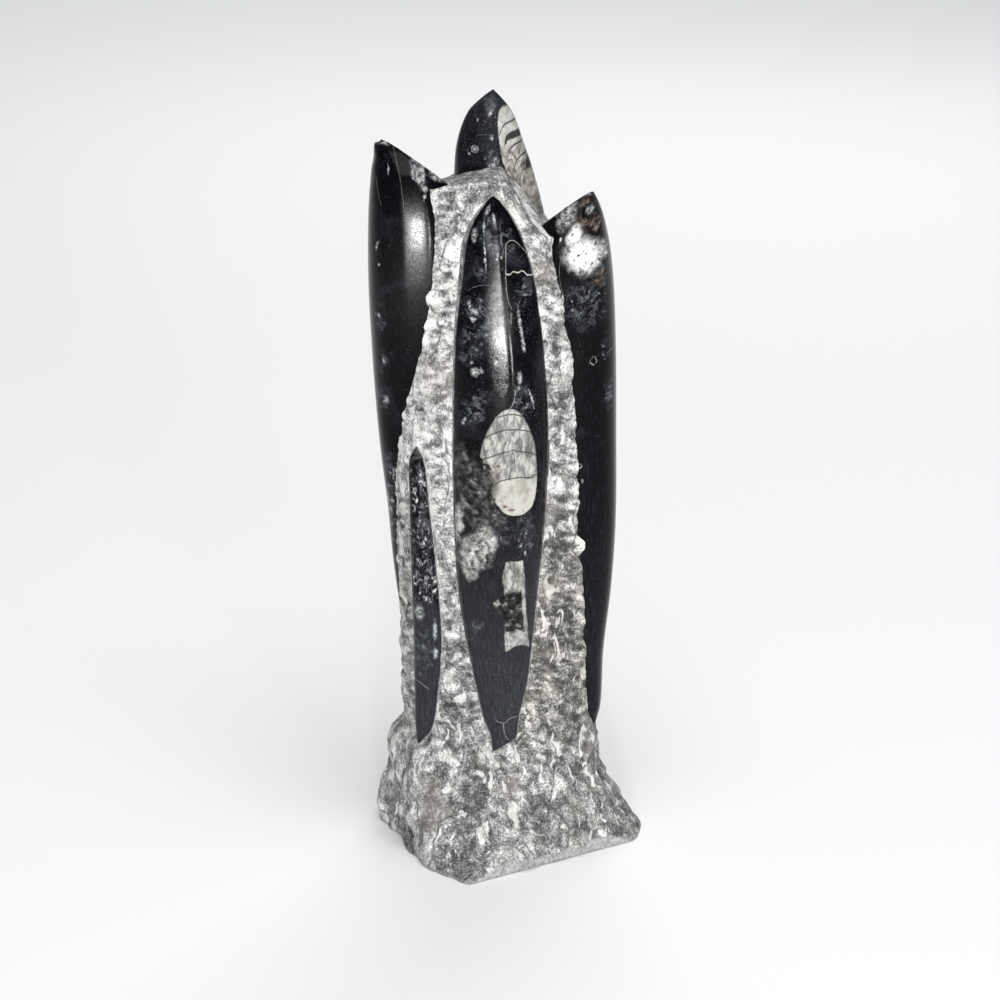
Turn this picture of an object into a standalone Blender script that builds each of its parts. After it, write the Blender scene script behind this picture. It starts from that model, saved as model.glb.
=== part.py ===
"""Orthoceras fossil stone: a tower of pointed, polished lobes left standing in one rough-hewn piece
of black limestone, with a flared foot that is sawn flat underneath.

The stone is one solid. Its rough ground is a round grid wrapped over a column with a foot, and each
polished lobe is a bent spindle that a Boolean union joins to the ground.
The front of the stone faces -Y, +X is to its right, and its foot stands on Z = 0.
"""

import math

import bmesh
import bpy
from mathutils import Vector, noise

MM = 0.001

# Middle of the stone's outer box on the floor, which becomes the origin
MIDDLE = Vector((3.5, -5.35, 0.0))

# The rough ground above the foot: height, half width, half depth, middle X, middle Y
FOOT_HEIGHT = 44.0
GROUND_SECTIONS = (
    (FOOT_HEIGHT, 38.0, 29.0, -0.2, 0.0),
    (80.0, 38.3, 29.0, 0.0, 0.0),
    (150.0, 40.0, 30.0, -1.0, 0.0),
    (225.0, 37.0, 28.5, -3.0, 0.0),
    (268.0, 33.0, 24.5, -4.0, 0.0),
)
GROUND_SQUARENESS = 1.9

# Height of the ground's upper edge: bearing in degrees from +X, and height
GROUND_RIM = (
    (0, 240.0),
    (45, 242.0),
    (90, 246.0),
    (135, 254.0),
    (180, 259.0),
    (221, 262.0),
    (240, 264.5),
    (263, 266.0),
    (275, 264.0),
    (287, 257.5),
    (301, 248.5),
    (315, 244.5),
)
# The ground's top: its highest level, where it starts to fall on each side, and its slopes there
CROWN_HEIGHT = 266.5
CROWN_BREAK_X = 1.0
CROWN_SLOPE = 1.2
CROWN_LEFT_X = -4.0
CROWN_LEFT_SLOPE = 0.3

# The foot's outline on the floor: bearing in degrees from +X, and distance from the middle
FOOT_OUTLINE = (
    (0, 56.5),
    (30, 51.0),
    (65, 46.0),
    (100, 44.0),
    (135, 48.0),
    (160, 50.0),
    (173, 48.5),
    (184, 44.5),
    (196, 41.0),
    (222, 45.0),
    (240, 51.0),
    (249, 53.0),
    (257, 56.5),
    (268, 54.5),
    (280, 48.5),
    (300, 45.5),
    (320, 48.0),
    (334, 53.0),
    (348, 56.0),
)
# The narrow strip where the foot's right front was sawn: how far out, its bearing and its height
SAWN_DISTANCE = 41.4
SAWN_BEARING = -58.5
SAWN_HEIGHT = 5.0

# How closely the ground's grid is divided, and how many of its rings are underneath and on top
GROUND_COLUMNS = 64
GROUND_RINGS = 64
UNDERSIDE_RINGS = 2
TOP_RINGS = 5

LUMP_SIZE = 15.0
LUMP_DEPTH = 1.3
FOOT_LUMP_DEPTH = 3.0
CHISEL_PITCH = 9.0
CHISEL_DEPTH = 0.8

# Each polished lobe: its outward bearing, and sections up its length.
# A section is its height, its middle X and Y, and its half width and half depth.
LOBES = {
    "front": (-90.0, (
        (43.6, -2.8, -29.0, 0.0, 0.0),
        (46.6, -0.7, -28.6, 2.3, 3.2),
        (49.6, 1.3, -28.0, 4.6, 4.2),
        (53.5, 1.0, -27.3, 5.7, 5.2),
        (58.0, 0.4, -26.6, 6.9, 6.2),
        (64.0, 0.4, -26.1, 8.3, 7.2),
        (73.0, 0.4, -25.5, 10.2, 8.5),
        (106.0, -0.7, -25.0, 14.6, 11.5),
        (138.0, -0.2, -25.0, 17.0, 12.5),
        (169.0, 0.3, -24.5, 17.9, 12.3),
        (204.0, -0.5, -23.5, 16.8, 10.9),
        (229.0, -1.6, -22.5, 14.6, 8.6),
        (243.0, -2.6, -22.7, 11.9, 6.8),
        (252.0, -2.7, -23.6, 7.8, 5.2),
        (258.0, -2.5, -25.0, 3.2, 2.8),
        (261.0, -2.5, -26.5, 0.0, 0.0),
    )),
    "left": (192.0, (
        (80.0, -36.5, 4.0, 0.0, 0.0),
        (92.0, -34.0, 4.0, 6.0, 5.2),
        (112.0, -32.5, 4.0, 9.5, 9.2),
        (134.0, -31.5, 4.0, 12.0, 12.0),
        (157.0, -31.0, 3.0, 13.5, 15.0),
        (178.0, -30.5, 1.0, 15.2, 17.0),
        (200.0, -30.5, -2.0, 18.1, 18.0),
        (225.0, -31.0, -3.5, 19.5, 18.2),
        (250.0, -31.5, -3.5, 18.7, 17.3),
        (266.0, -33.5, -3.5, 16.0, 14.0),
        (271.0, -36.2, -4.0, 12.2, 10.4),
        (274.2, -38.5, -4.0, 9.4, 8.0),
        (276.0, -40.2, -4.0, 7.0, 6.0),
        (277.0, -41.7, -4.0, 4.3, 3.7),
        (277.3, -42.4, -4.0, 0.0, 0.0),
    )),
    "right": (-12.0, (
        (46.0, 37.5, -6.0, 0.0, 0.0),
        (54.0, 34.0, -5.0, 6.5, 5.5),
        (76.0, 30.6, -4.0, 9.8, 9.8),
        (103.0, 29.0, -3.5, 12.0, 14.2),
        (130.0, 27.0, -3.2, 15.5, 17.6),
        (165.0, 26.0, -1.5, 16.9, 18.4),
        (204.0, 25.5, -1.0, 18.0, 18.1),
        (230.0, 25.0, -2.2, 18.8, 16.9),
        (246.0, 26.0, -4.0, 17.5, 13.0),
        (256.0, 28.5, -5.0, 10.5, 7.0),
        (263.0, 31.0, -6.0, 0.0, 0.0),
    )),
    "rear": (90.0, (
        (44.0, 0.0, 28.0, 0.0, 0.0),
        (56.0, 0.0, 26.0, 7.5, 6.0),
        (85.0, 0.0, 22.0, 14.0, 11.5),
        (125.0, 0.0, 18.5, 19.0, 16.0),
        (170.0, 0.0, 16.0, 21.5, 18.5),
        (210.0, 0.0, 14.0, 20.5, 19.5),
        (243.0, -0.3, 13.0, 17.6, 18.0),
        (262.0, -2.3, 12.5, 15.0, 15.5),
        (274.0, -3.7, 12.0, 12.4, 12.5),
        (285.0, -3.7, 12.0, 8.3, 8.3),
        (290.7, -3.1, 12.0, 3.3, 3.3),
        (293.5, -2.6, 12.0, 0.0, 0.0),
    )),
    "low_left": (-137.0, (
        (43.0, -32.0, -20.0, 0.0, 0.0),
        (50.0, -29.3, -18.5, 3.2, 3.6),
        (66.0, -27.2, -17.5, 5.4, 6.0),
        (88.0, -26.0, -17.0, 7.0, 7.2),
        (120.0, -27.4, -17.3, 6.2, 6.6),
        (145.0, -29.0, -17.5, 4.8, 5.4),
        (158.0, -30.2, -18.0, 3.6, 4.0),
        (164.5, -31.2, -19.0, 0.0, 0.0),
    )),
}
LOBE_COLUMNS = 22
LOBE_RINGS = 24
LOBE_ROUNDNESS = 2.2

# Slanting breaks across the tips of the side lobes: a point on the break, and the way it faces
TIP_BREAKS = {
    "left": ((-42.0, -8.0, 278.0), (0.75, 0.35, 1.0)),
    "right": ((29.0, -14.0, 257.5), (-0.75, 0.35, 1.0)),
}


def smooth(share):
    """Eases a share from 0 to 1."""
    share = min(1.0, max(0.0, share))
    return share * share * (3.0 - 2.0 * share)


def round_table(table, bearing):
    """Value at a bearing in degrees, eased between a closed table's rows."""
    bearing %= 360.0
    rows = [(table[-1][0] - 360.0, table[-1][1]), *table, (table[0][0] + 360.0, table[0][1])]
    for (low, before), (high, after) in zip(rows, rows[1:]):
        if low <= bearing <= high:
            return before + (after - before) * smooth((bearing - low) / (high - low))
    return rows[0][1]


def curve(rows, height):
    """Values at a height, on a smooth curve through the rows. Each row starts with its height."""
    height = min(rows[-1][0], max(rows[0][0], height))
    index = max(i for i in range(len(rows) - 1) if rows[i][0] <= height)
    low, high = rows[index], rows[index + 1]
    before = rows[max(0, index - 1)]
    after = rows[min(len(rows) - 1, index + 2)]
    span = high[0] - low[0]
    t = (height - low[0]) / span
    values = []
    for column in range(1, len(low)):
        rise_low = (high[column] - before[column]) / (high[0] - before[0]) * span
        rise_high = (after[column] - low[column]) / (after[0] - low[0]) * span
        values.append(
            (2 * t**3 - 3 * t**2 + 1) * low[column] + (t**3 - 2 * t**2 + t) * rise_low
            + (3 * t**2 - 2 * t**3) * high[column] + (t**3 - t**2) * rise_high
        )
    return values


def column_point(bearing, height):
    """Point on the side of the rough ground above the foot, before its relief."""
    half_width, half_depth, middle_x, middle_y = curve(GROUND_SECTIONS, height)
    angle = math.radians(bearing)
    across = (abs(math.cos(angle)) / half_width) ** GROUND_SQUARENESS
    along = (abs(math.sin(angle)) / half_depth) ** GROUND_SQUARENESS
    reach = (across + along) ** (-1.0 / GROUND_SQUARENESS)
    return Vector((middle_x + reach * math.cos(angle), middle_y + reach * math.sin(angle), height))


def sawn_reach(bearing):
    """Distance from the middle to the sawn strip at a bearing, or a long way where it isn't."""
    facing = math.cos(math.radians(bearing - SAWN_BEARING))
    return SAWN_DISTANCE / facing if facing > 0.2 else 1000.0


def strip_height(bearing):
    """Height of the sawn strip's ragged upper edge."""
    angle = math.radians(bearing)
    wave = noise.noise(Vector((6.0 * math.cos(angle), 6.0 * math.sin(angle), 3.0)))
    return SAWN_HEIGHT * (1.0 + 0.5 * wave)


def relief(point, share_of_foot):
    """Lumps and chisel ridges, as a distance outwards in millimetres."""
    lumps = noise.fractal(point / LUMP_SIZE, 0.9, 2.1, 3, noise_basis="PERLIN_ORIGINAL")
    depth = LUMP_DEPTH + (FOOT_LUMP_DEPTH - LUMP_DEPTH) * share_of_foot
    sway = noise.noise(point / 22.0)
    wave = math.sin(2.0 * math.pi * (point.z / CHISEL_PITCH + 1.2 * sway))
    return depth * lumps + CHISEL_DEPTH * wave * (1.0 - share_of_foot)


def side_point(bearing, height):
    """Point on the rough side of the stone, foot included."""
    angle = math.radians(bearing)
    outward = Vector((math.cos(angle), math.sin(angle), 0.0))
    if height >= FOOT_HEIGHT:
        point = column_point(bearing, height)
        return point + outward * relief(point, 0.0)
    share = 1.0 - height / FOOT_HEIGHT
    left = smooth((-math.cos(angle) - 0.2) / 0.6)
    flare = share ** (1.9 - 1.6 * left)
    foot_reach = round_table(FOOT_OUTLINE, bearing)
    on_foot = Vector((foot_reach * math.cos(angle), foot_reach * math.sin(angle), height))
    point = column_point(bearing, FOOT_HEIGHT).lerp(on_foot, flare)
    point.z = height
    return point + outward * relief(point, smooth(2.0 * share)) * smooth(8.0 * (1.0 - share))


def crown_point(bearing, inward):
    """Point on the ground's top, from its middle, where inward is 0, to its upper edge at 1."""
    rim = round_table(GROUND_RIM, bearing)
    edge = side_point(bearing, rim)
    point = Vector((-3.0, 0.0, CROWN_HEIGHT)).lerp(edge, inward)
    roof = CROWN_HEIGHT - CROWN_SLOPE * max(0.0, point.x - CROWN_BREAK_X)
    roof -= CROWN_LEFT_SLOPE * max(0.0, CROWN_LEFT_X - point.x)
    point.z = roof + (rim - roof) * inward ** 4
    point.z += LUMP_DEPTH * noise.noise(point / LUMP_SIZE) * (1.0 - inward ** 4)
    return point


def ground_point(bearing, ring):
    """Point of the ground's grid. The rings run from the middle underneath up the side to the crown."""
    if ring <= UNDERSIDE_RINGS:
        edge = side_point(bearing, 0.0)
        reach = min(edge.length, sawn_reach(bearing))
        return edge.normalized() * reach * (ring / UNDERSIDE_RINGS)
    if ring > GROUND_RINGS - TOP_RINGS:
        return crown_point(bearing, (GROUND_RINGS - ring) / TOP_RINGS)
    rise = (ring - UNDERSIDE_RINGS) / (GROUND_RINGS - TOP_RINGS - UNDERSIDE_RINGS)
    height = round_table(GROUND_RIM, bearing) * rise
    point = side_point(bearing, height)
    if height < strip_height(bearing):
        flat = Vector((point.x, point.y, 0.0))
        reach = min(flat.length, sawn_reach(bearing))
        point = flat.normalized() * reach + Vector((0.0, 0.0, height))
    return point


def lobe_point(bearing, sections, height, turn):
    """Point on a lobe's skin at a height, turned round its middle line."""
    middle_x, middle_y, half_width, half_depth = curve(sections, height)
    facing = math.radians(bearing)
    outward = Vector((math.cos(facing), math.sin(facing), 0.0))
    sideways = Vector((-math.sin(facing), math.cos(facing), 0.0))
    power = 2.0 / LOBE_ROUNDNESS
    across = math.copysign(abs(math.cos(turn)) ** power, math.cos(turn)) * half_width
    out = math.copysign(abs(math.sin(turn)) ** power, math.sin(turn)) * half_depth
    return Vector((middle_x, middle_y, height)) + sideways * across + outward * out


def wrap_sphere(name, columns, rings, place, collection):
    """New object from a sphere whose points are placed by their turn and their share of the way up."""
    mesh = bpy.data.meshes.new(name)
    shape = bmesh.new()
    bmesh.ops.create_uvsphere(shape, u_segments=columns, v_segments=rings, radius=1.0)
    for vertex in shape.verts:
        share = 1.0 - math.acos(max(-1.0, min(1.0, vertex.co.z))) / math.pi
        vertex.co = (place(math.atan2(vertex.co.y, vertex.co.x), share) - MIDDLE) * MM
    bmesh.ops.recalc_face_normals(shape, faces=shape.faces)
    shape.to_mesh(mesh)
    shape.free()
    made = bpy.data.objects.new(name, mesh)
    collection.objects.link(made)
    return made


def make_ground(collection):
    def place(turn, share):
        return ground_point(math.degrees(turn), round(share * GROUND_RINGS))

    return wrap_sphere("orthoceras_stone", GROUND_COLUMNS, GROUND_RINGS, place, collection)


def break_tip(lobe, point, facing):
    """Cuts a lobe's tip off along a slanting plane and closes the cut."""
    shape = bmesh.new()
    shape.from_mesh(lobe.data)
    everything = shape.verts[:] + shape.edges[:] + shape.faces[:]
    cut = bmesh.ops.bisect_plane(
        shape, geom=everything, plane_co=(Vector(point) - MIDDLE) * MM, plane_no=facing,
        clear_outer=True, dist=1e-6,
    )
    rim = [item for item in cut["geom_cut"] if isinstance(item, bmesh.types.BMEdge)]
    bmesh.ops.contextual_create(shape, geom=rim)
    bmesh.ops.recalc_face_normals(shape, faces=shape.faces)
    shape.to_mesh(lobe.data)
    shape.free()


def make_lobe(name, bearing, sections, collection):
    bottom = sections[0][0]
    top = sections[-1][0]

    def place(turn, share):
        along = 0.5 - 0.5 * math.cos(math.pi * share)
        return lobe_point(bearing, sections, bottom + (top - bottom) * along, turn)

    lobe = wrap_sphere(name + "_lobe", LOBE_COLUMNS, LOBE_RINGS, place, collection)
    if name in TIP_BREAKS:
        break_tip(lobe, *TIP_BREAKS[name])
    lobe.hide_render = True
    lobe.display_type = "WIRE"
    return lobe


def stone_material():
    material = bpy.data.materials.new("polished black limestone")
    material.use_nodes = True
    shader = material.node_tree.nodes["Principled BSDF"]
    shader.inputs["Base Color"].default_value = (0.035, 0.036, 0.042, 1.0)
    shader.inputs["Roughness"].default_value = 0.35
    shader.inputs["Metallic"].default_value = 0.0
    return material


def new_collection(name):
    collection = bpy.data.collections.new(name)
    bpy.context.scene.collection.children.link(collection)
    return collection


def main():
    for leftover in list(bpy.data.objects):
        bpy.data.objects.remove(leftover)
    stone_parts = new_collection("orthoceras stone")
    joined_shapes = new_collection("lobes to join")
    stone = make_ground(stone_parts)
    stone.data.materials.append(stone_material())
    for name, (bearing, sections) in LOBES.items():
        union = stone.modifiers.new(name, "BOOLEAN")
        union.operation = "UNION"
        union.solver = "EXACT"
        union.object = make_lobe(name, bearing, sections, joined_shapes)


main()
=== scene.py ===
"""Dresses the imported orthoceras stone: rough-hewn ground, polished lobes with white fossils, and a
plain studio. Sizes are in millimetres in the stone's own space, unless a name says otherwise."""

import math

import bmesh
import bpy
from bpy.props import FloatProperty, FloatVectorProperty, IntProperty, PointerProperty
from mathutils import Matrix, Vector, noise


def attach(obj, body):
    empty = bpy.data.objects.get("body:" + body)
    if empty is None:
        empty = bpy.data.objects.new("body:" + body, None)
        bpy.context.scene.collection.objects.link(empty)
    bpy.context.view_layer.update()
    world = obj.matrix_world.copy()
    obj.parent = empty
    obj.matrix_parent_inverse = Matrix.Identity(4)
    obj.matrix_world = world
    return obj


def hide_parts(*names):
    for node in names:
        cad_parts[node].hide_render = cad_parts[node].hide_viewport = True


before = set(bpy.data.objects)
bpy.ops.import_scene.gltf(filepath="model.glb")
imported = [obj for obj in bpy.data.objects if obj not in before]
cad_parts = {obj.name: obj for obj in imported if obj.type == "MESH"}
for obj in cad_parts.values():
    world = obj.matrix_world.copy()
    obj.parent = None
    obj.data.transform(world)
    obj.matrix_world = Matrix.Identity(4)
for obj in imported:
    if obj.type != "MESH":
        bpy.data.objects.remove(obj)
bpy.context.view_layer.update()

bl_info = {
    "name": "Orthoceras Stone",
    "version": (1, 0, 0),
    "blender": (4, 5, 0),
    "location": "3D View > Sidebar > Fossil",
    "description": "Builds a carved tower of black fossil limestone with polished lobes",
    "category": "Add Mesh",
}

STONE_NODE = "orthoceras_stone"
MM = 0.001

# Middle of the stone's outer box on the floor, which is the origin
MIDDLE = Vector((3.5, -5.35, 0.0))

# The rough ground above the foot: height, half width, half depth, middle X, middle Y
FOOT_HEIGHT = 44.0
GROUND_SECTIONS = (
    (FOOT_HEIGHT, 38.0, 29.0, -0.2, 0.0),
    (80.0, 38.3, 29.0, 0.0, 0.0),
    (150.0, 40.0, 30.0, -1.0, 0.0),
    (225.0, 37.0, 28.5, -3.0, 0.0),
    (268.0, 33.0, 24.5, -4.0, 0.0),
)
GROUND_SQUARENESS = 1.9

# Height of the ground's upper edge: bearing in degrees from +X, and height
GROUND_RIM = (
    (0, 240.0), (45, 242.0), (90, 246.0), (135, 254.0), (180, 259.0), (221, 262.0),
    (240, 264.5), (263, 266.0), (275, 264.0), (287, 257.5), (301, 248.5), (315, 244.5),
)
CROWN_HEIGHT = 266.5
CROWN_MIDDLE = Vector((-3.0, 0.0, CROWN_HEIGHT))
CROWN_BREAK_X = 1.0
CROWN_SLOPE = 1.2
CROWN_LEFT_X = -4.0
CROWN_LEFT_SLOPE = 0.3

# The foot's outline on the floor: bearing in degrees from +X, and distance from the middle
FOOT_OUTLINE = (
    (0, 56.5), (30, 51.0), (65, 46.0), (100, 44.0), (135, 48.0), (160, 50.0), (173, 48.5),
    (184, 44.5), (196, 41.0), (222, 45.0), (240, 51.0), (249, 53.0), (257, 56.5), (268, 54.5),
    (280, 48.5), (300, 45.5), (320, 48.0), (334, 53.0), (348, 56.0),
)
SAWN_DISTANCE = 41.4
SAWN_BEARING = -58.5
SAWN_HEIGHT = 5.0

# Rings of points under the stone, on its crown and across a broken tip
UNDERSIDE_RINGS = 14
TOP_RINGS = 26
BREAK_RINGS = 24
BREAK_SEARCHES = 26

# The rubble on the hewn ground and on the broken tips, and the patches of deeper chisel marks
CHIP_SIZE = 4.2
BREAK_CHIP_SIZE = 4.0
HEWN_PATCH_SIZE = 11.0

# More than any distance across the stone
FAR_AWAY = 100.0

# Each polished lobe: its outward bearing, and sections up its length.
# A section is its height, its middle X and Y, and its half width and half depth.
LOBES = {
    "front": (-90.0, (
        (43.6, -2.8, -29.0, 0.0, 0.0),
        (46.6, -0.7, -28.6, 2.3, 3.2),
        (49.6, 1.3, -28.0, 4.6, 4.2),
        (53.5, 1.0, -27.3, 5.7, 5.2),
        (58.0, 0.4, -26.6, 6.9, 6.2),
        (64.0, 0.4, -26.1, 8.3, 7.2),
        (73.0, 0.4, -25.5, 10.2, 8.5),
        (106.0, -0.7, -25.0, 14.6, 11.5),
        (138.0, -0.2, -25.0, 17.0, 12.5),
        (169.0, 0.3, -24.5, 17.9, 12.3),
        (204.0, -0.5, -23.5, 16.8, 10.9),
        (229.0, -1.6, -22.5, 14.6, 8.6),
        (243.0, -2.6, -22.7, 11.9, 6.8),
        (252.0, -2.7, -23.6, 7.8, 5.2),
        (258.0, -2.5, -25.0, 3.2, 2.8),
        (261.0, -2.5, -26.5, 0.0, 0.0),
    )),
    "left": (192.0, (
        (80.0, -36.5, 4.0, 0.0, 0.0),
        (92.0, -34.0, 4.0, 6.0, 5.2),
        (112.0, -32.5, 4.0, 9.5, 9.2),
        (134.0, -31.5, 4.0, 12.0, 12.0),
        (157.0, -31.0, 3.0, 13.5, 15.0),
        (178.0, -30.5, 1.0, 15.2, 17.0),
        (200.0, -30.5, -2.0, 18.1, 18.0),
        (225.0, -31.0, -3.5, 19.5, 18.2),
        (250.0, -31.5, -3.5, 18.7, 17.3),
        (266.0, -33.5, -3.5, 16.0, 14.0),
        (271.0, -36.2, -4.0, 12.2, 10.4),
        (274.2, -38.5, -4.0, 9.4, 8.0),
        (276.0, -40.2, -4.0, 7.0, 6.0),
        (277.0, -41.7, -4.0, 4.3, 3.7),
        (277.3, -42.4, -4.0, 0.0, 0.0),
    )),
    "right": (-12.0, (
        (46.0, 37.5, -6.0, 0.0, 0.0),
        (54.0, 34.0, -5.0, 6.5, 5.5),
        (76.0, 30.6, -4.0, 9.8, 9.8),
        (103.0, 29.0, -3.5, 12.0, 14.2),
        (130.0, 27.0, -3.2, 15.5, 17.6),
        (165.0, 26.0, -1.5, 16.9, 18.4),
        (204.0, 25.5, -1.0, 18.0, 18.1),
        (230.0, 25.0, -2.2, 18.8, 16.9),
        (246.0, 26.0, -4.0, 17.5, 13.0),
        (256.0, 28.5, -5.0, 10.5, 7.0),
        (263.0, 31.0, -6.0, 0.0, 0.0),
    )),
    "rear": (90.0, (
        (44.0, 0.0, 28.0, 0.0, 0.0),
        (56.0, 0.0, 26.0, 7.5, 6.0),
        (85.0, 0.0, 22.0, 14.0, 11.5),
        (125.0, 0.0, 18.5, 19.0, 16.0),
        (170.0, 0.0, 16.0, 21.5, 18.5),
        (210.0, 0.0, 14.0, 20.5, 19.5),
        (243.0, -0.3, 13.0, 17.6, 18.0),
        (262.0, -2.3, 12.5, 15.0, 15.5),
        (274.0, -3.7, 12.0, 12.4, 12.5),
        (285.0, -3.7, 12.0, 8.3, 8.3),
        (290.7, -3.1, 12.0, 3.3, 3.3),
        (293.5, -2.6, 12.0, 0.0, 0.0),
    )),
    "low_left": (-137.0, (
        (43.0, -32.0, -20.0, 0.0, 0.0),
        (50.0, -29.3, -18.5, 3.2, 3.6),
        (66.0, -27.2, -17.5, 5.4, 6.0),
        (88.0, -26.0, -17.0, 7.0, 7.2),
        (120.0, -27.4, -17.3, 6.2, 6.6),
        (145.0, -29.0, -17.5, 4.8, 5.4),
        (158.0, -30.2, -18.0, 3.6, 4.0),
        (164.5, -31.2, -19.0, 0.0, 0.0),
    )),
}
# The power of a lobe's cross-section: 2 is an ellipse and more is squarer
LOBE_ROUNDNESS = 2.2
# The least half width or half depth that a gap is measured against
LEAST_HALF = 0.2

# Lobes whose edge is honed where it meets the hewn ground
HONED_LOBES = ("front", "low_left")

# Slanting breaks across the tips of the side lobes: a point on the break, and the way it faces
TIP_BREAKS = {
    "left": (Vector((-42.0, -8.0, 278.0)), Vector((0.75, 0.35, 1.0))),
    "right": (Vector((29.0, -14.0, 257.5)), Vector((-0.75, 0.35, 1.0))),
}

# Flats left by the polishing wheel: how flat they are, how softly they start,
# and for each one the bearing it faces and its depth by height
FACET_FLATNESS = 0.92
FACET_EDGE = 0.25
FACETS = {
    "front": (
        (-75.0, ((184.0, 0.0), (198.0, 0.35), (214.0, 0.6), (236.0, 0.6), (252.0, 0.1), (257.0, 0.0))),
        (-90.0, ((184.0, 0.0), (196.0, 0.4), (210.0, 0.5), (228.0, 0.4), (246.0, 0.3), (257.0, 0.0))),
    ),
    "left": (
        (-88.0, ((180.0, 0.0), (205.0, 0.3), (235.0, 0.7), (262.0, 0.9), (276.0, 0.6), (283.0, 0.0))),
        (-57.0, ((228.0, 0.0), (245.0, 0.5), (262.0, 0.9), (276.0, 0.6), (283.0, 0.0))),
        (-125.0, ((222.0, 0.0), (245.0, 0.5), (262.0, 0.8), (276.0, 0.5), (283.0, 0.0))),
    ),
    "right": (
        (-85.0, ((190.0, 0.0), (212.0, 0.5), (232.0, 1.1), (250.0, 0.8), (263.0, 0.0))),
        (-128.0, ((205.0, 0.0), (228.0, 0.6), (250.0, 0.8), (263.0, 0.0))),
    ),
    "rear": ((-62.0, ((225.0, 0.0), (250.0, 0.6), (270.0, 0.9), (288.0, 0.5), (293.5, 0.0))),),
}

# Lumps on the bands that stand out: across, height, radius and how far they stand proud
LUMPS = (
    (-24.7, 222.0, 3.0, 1.5), (31.5, 124.3, 3.6, 1.6), (30.0, 101.0, 2.6, 1.0), (-28.0, 187.0, 2.6, 0.9),
    (26.0, 158.0, 2.4, 0.8),
)

# Marks in the polish as seen from the front, in millimetres across and up the stone.
# A patch is its middle, its half width and half height, and its lean in degrees.
# A ring is the same without a lean. A line is its direction, half width, strength and points.
# A line that runs up is (height, across) points; one that runs across is (across, height) points.
WHITE_PATCHES = {
    "front": (
        (-4.4, 256.0, 0.6, 1.6, 20), (-2.3, 253.3, 0.5, 1.5, -15), (-9.3, 247.0, 0.8, 2.2, 8),
        (-5.8, 250.2, 0.3, 3.2, 0), (-5.5, 239.5, 0.35, 4.6, -3), (-1.2, 238.2, 0.4, 0.5, 0),
        (0.6, 238.8, 0.4, 0.4, 0), (-11.2, 221.3, 0.55, 1.6, -8), (-9.4, 219.0, 1.3, 0.8, 20),
        (-9.7, 216.3, 1.1, 0.8, 0), (-10.4, 200.2, 0.7, 0.7, 0), (-9.2, 196.8, 1.5, 1.5, 30),
        (-7.0, 197.5, 0.9, 0.8, 0), (-1.5, 200.4, 0.8, 1.2, -12), (7.2, 194.9, 0.8, 1.9, 0),
        (6.9, 191.1, 0.5, 0.9, 10), (2.2, 191.2, 0.3, 1.3, 10), (4.2, 216.8, 0.35, 1.6, 0),
        (7.6, 213.0, 0.5, 6.2, -8.5), (8.7, 206.2, 0.6, 1.6, -10), (11.6, 187.0, 0.3, 2.4, -20),
        (-13.3, 178.0, 0.5, 1.4, 20), (9.4, 127.0, 0.4, 1.0, 0), (7.8, 130.5, 0.3, 0.9, 10),
    ),
    "left": (
        (-40.9, 268.6, 0.3, 1.6, 0), (-42.1, 277.0, 0.5, 0.6, 0), (-45.4, 240.1, 0.35, 1.8, 10),
        (-44.7, 233.2, 0.35, 0.6, 0), (-45.0, 213.8, 0.5, 0.8, 0), (-43.4, 195.9, 0.5, 1.1, -20),
        (-43.0, 180.0, 0.8, 1.4, 20), (-40.6, 150.0, 0.4, 1.4, 0), (-41.5, 137.7, 0.7, 1.0, 10),
    ),
    "right": (
        (33.1, 253.3, 1.4, 1.4, 20), (23.2, 220.6, 0.3, 2.7, -6), (26.5, 255.0, 0.5, 0.6, 0),
        (31.0, 150.0, 0.3, 0.8, 0), (28.6, 128.0, 0.5, 0.5, 0),
    ),
    "rear": (
        (-9.3, 273.2, 0.7, 0.6, 0), (-11.5, 271.5, 0.4, 0.5, 0), (-3.0, 277.2, 0.6, 0.8, 0),
        (-3.7, 285.5, 0.5, 0.9, 20), (-8.2, 283.4, 0.35, 0.5, 0), (-5.6, 270.0, 0.4, 0.6, 0),
        (-0.6, 262.5, 0.9, 1.5, -30), (-2.4, 266.0, 0.8, 1.0, 0),
    ),
    "low_left": (
        (-30.5, 162.0, 1.9, 1.9, 0), (-27.6, 133.2, 2.0, 1.1, 30), (-31.0, 98.7, 1.7, 2.8, 0),
        (-24.9, 92.0, 0.6, 3.6, 0), (-24.7, 82.5, 0.8, 1.9, 0),
    ),
}
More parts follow.
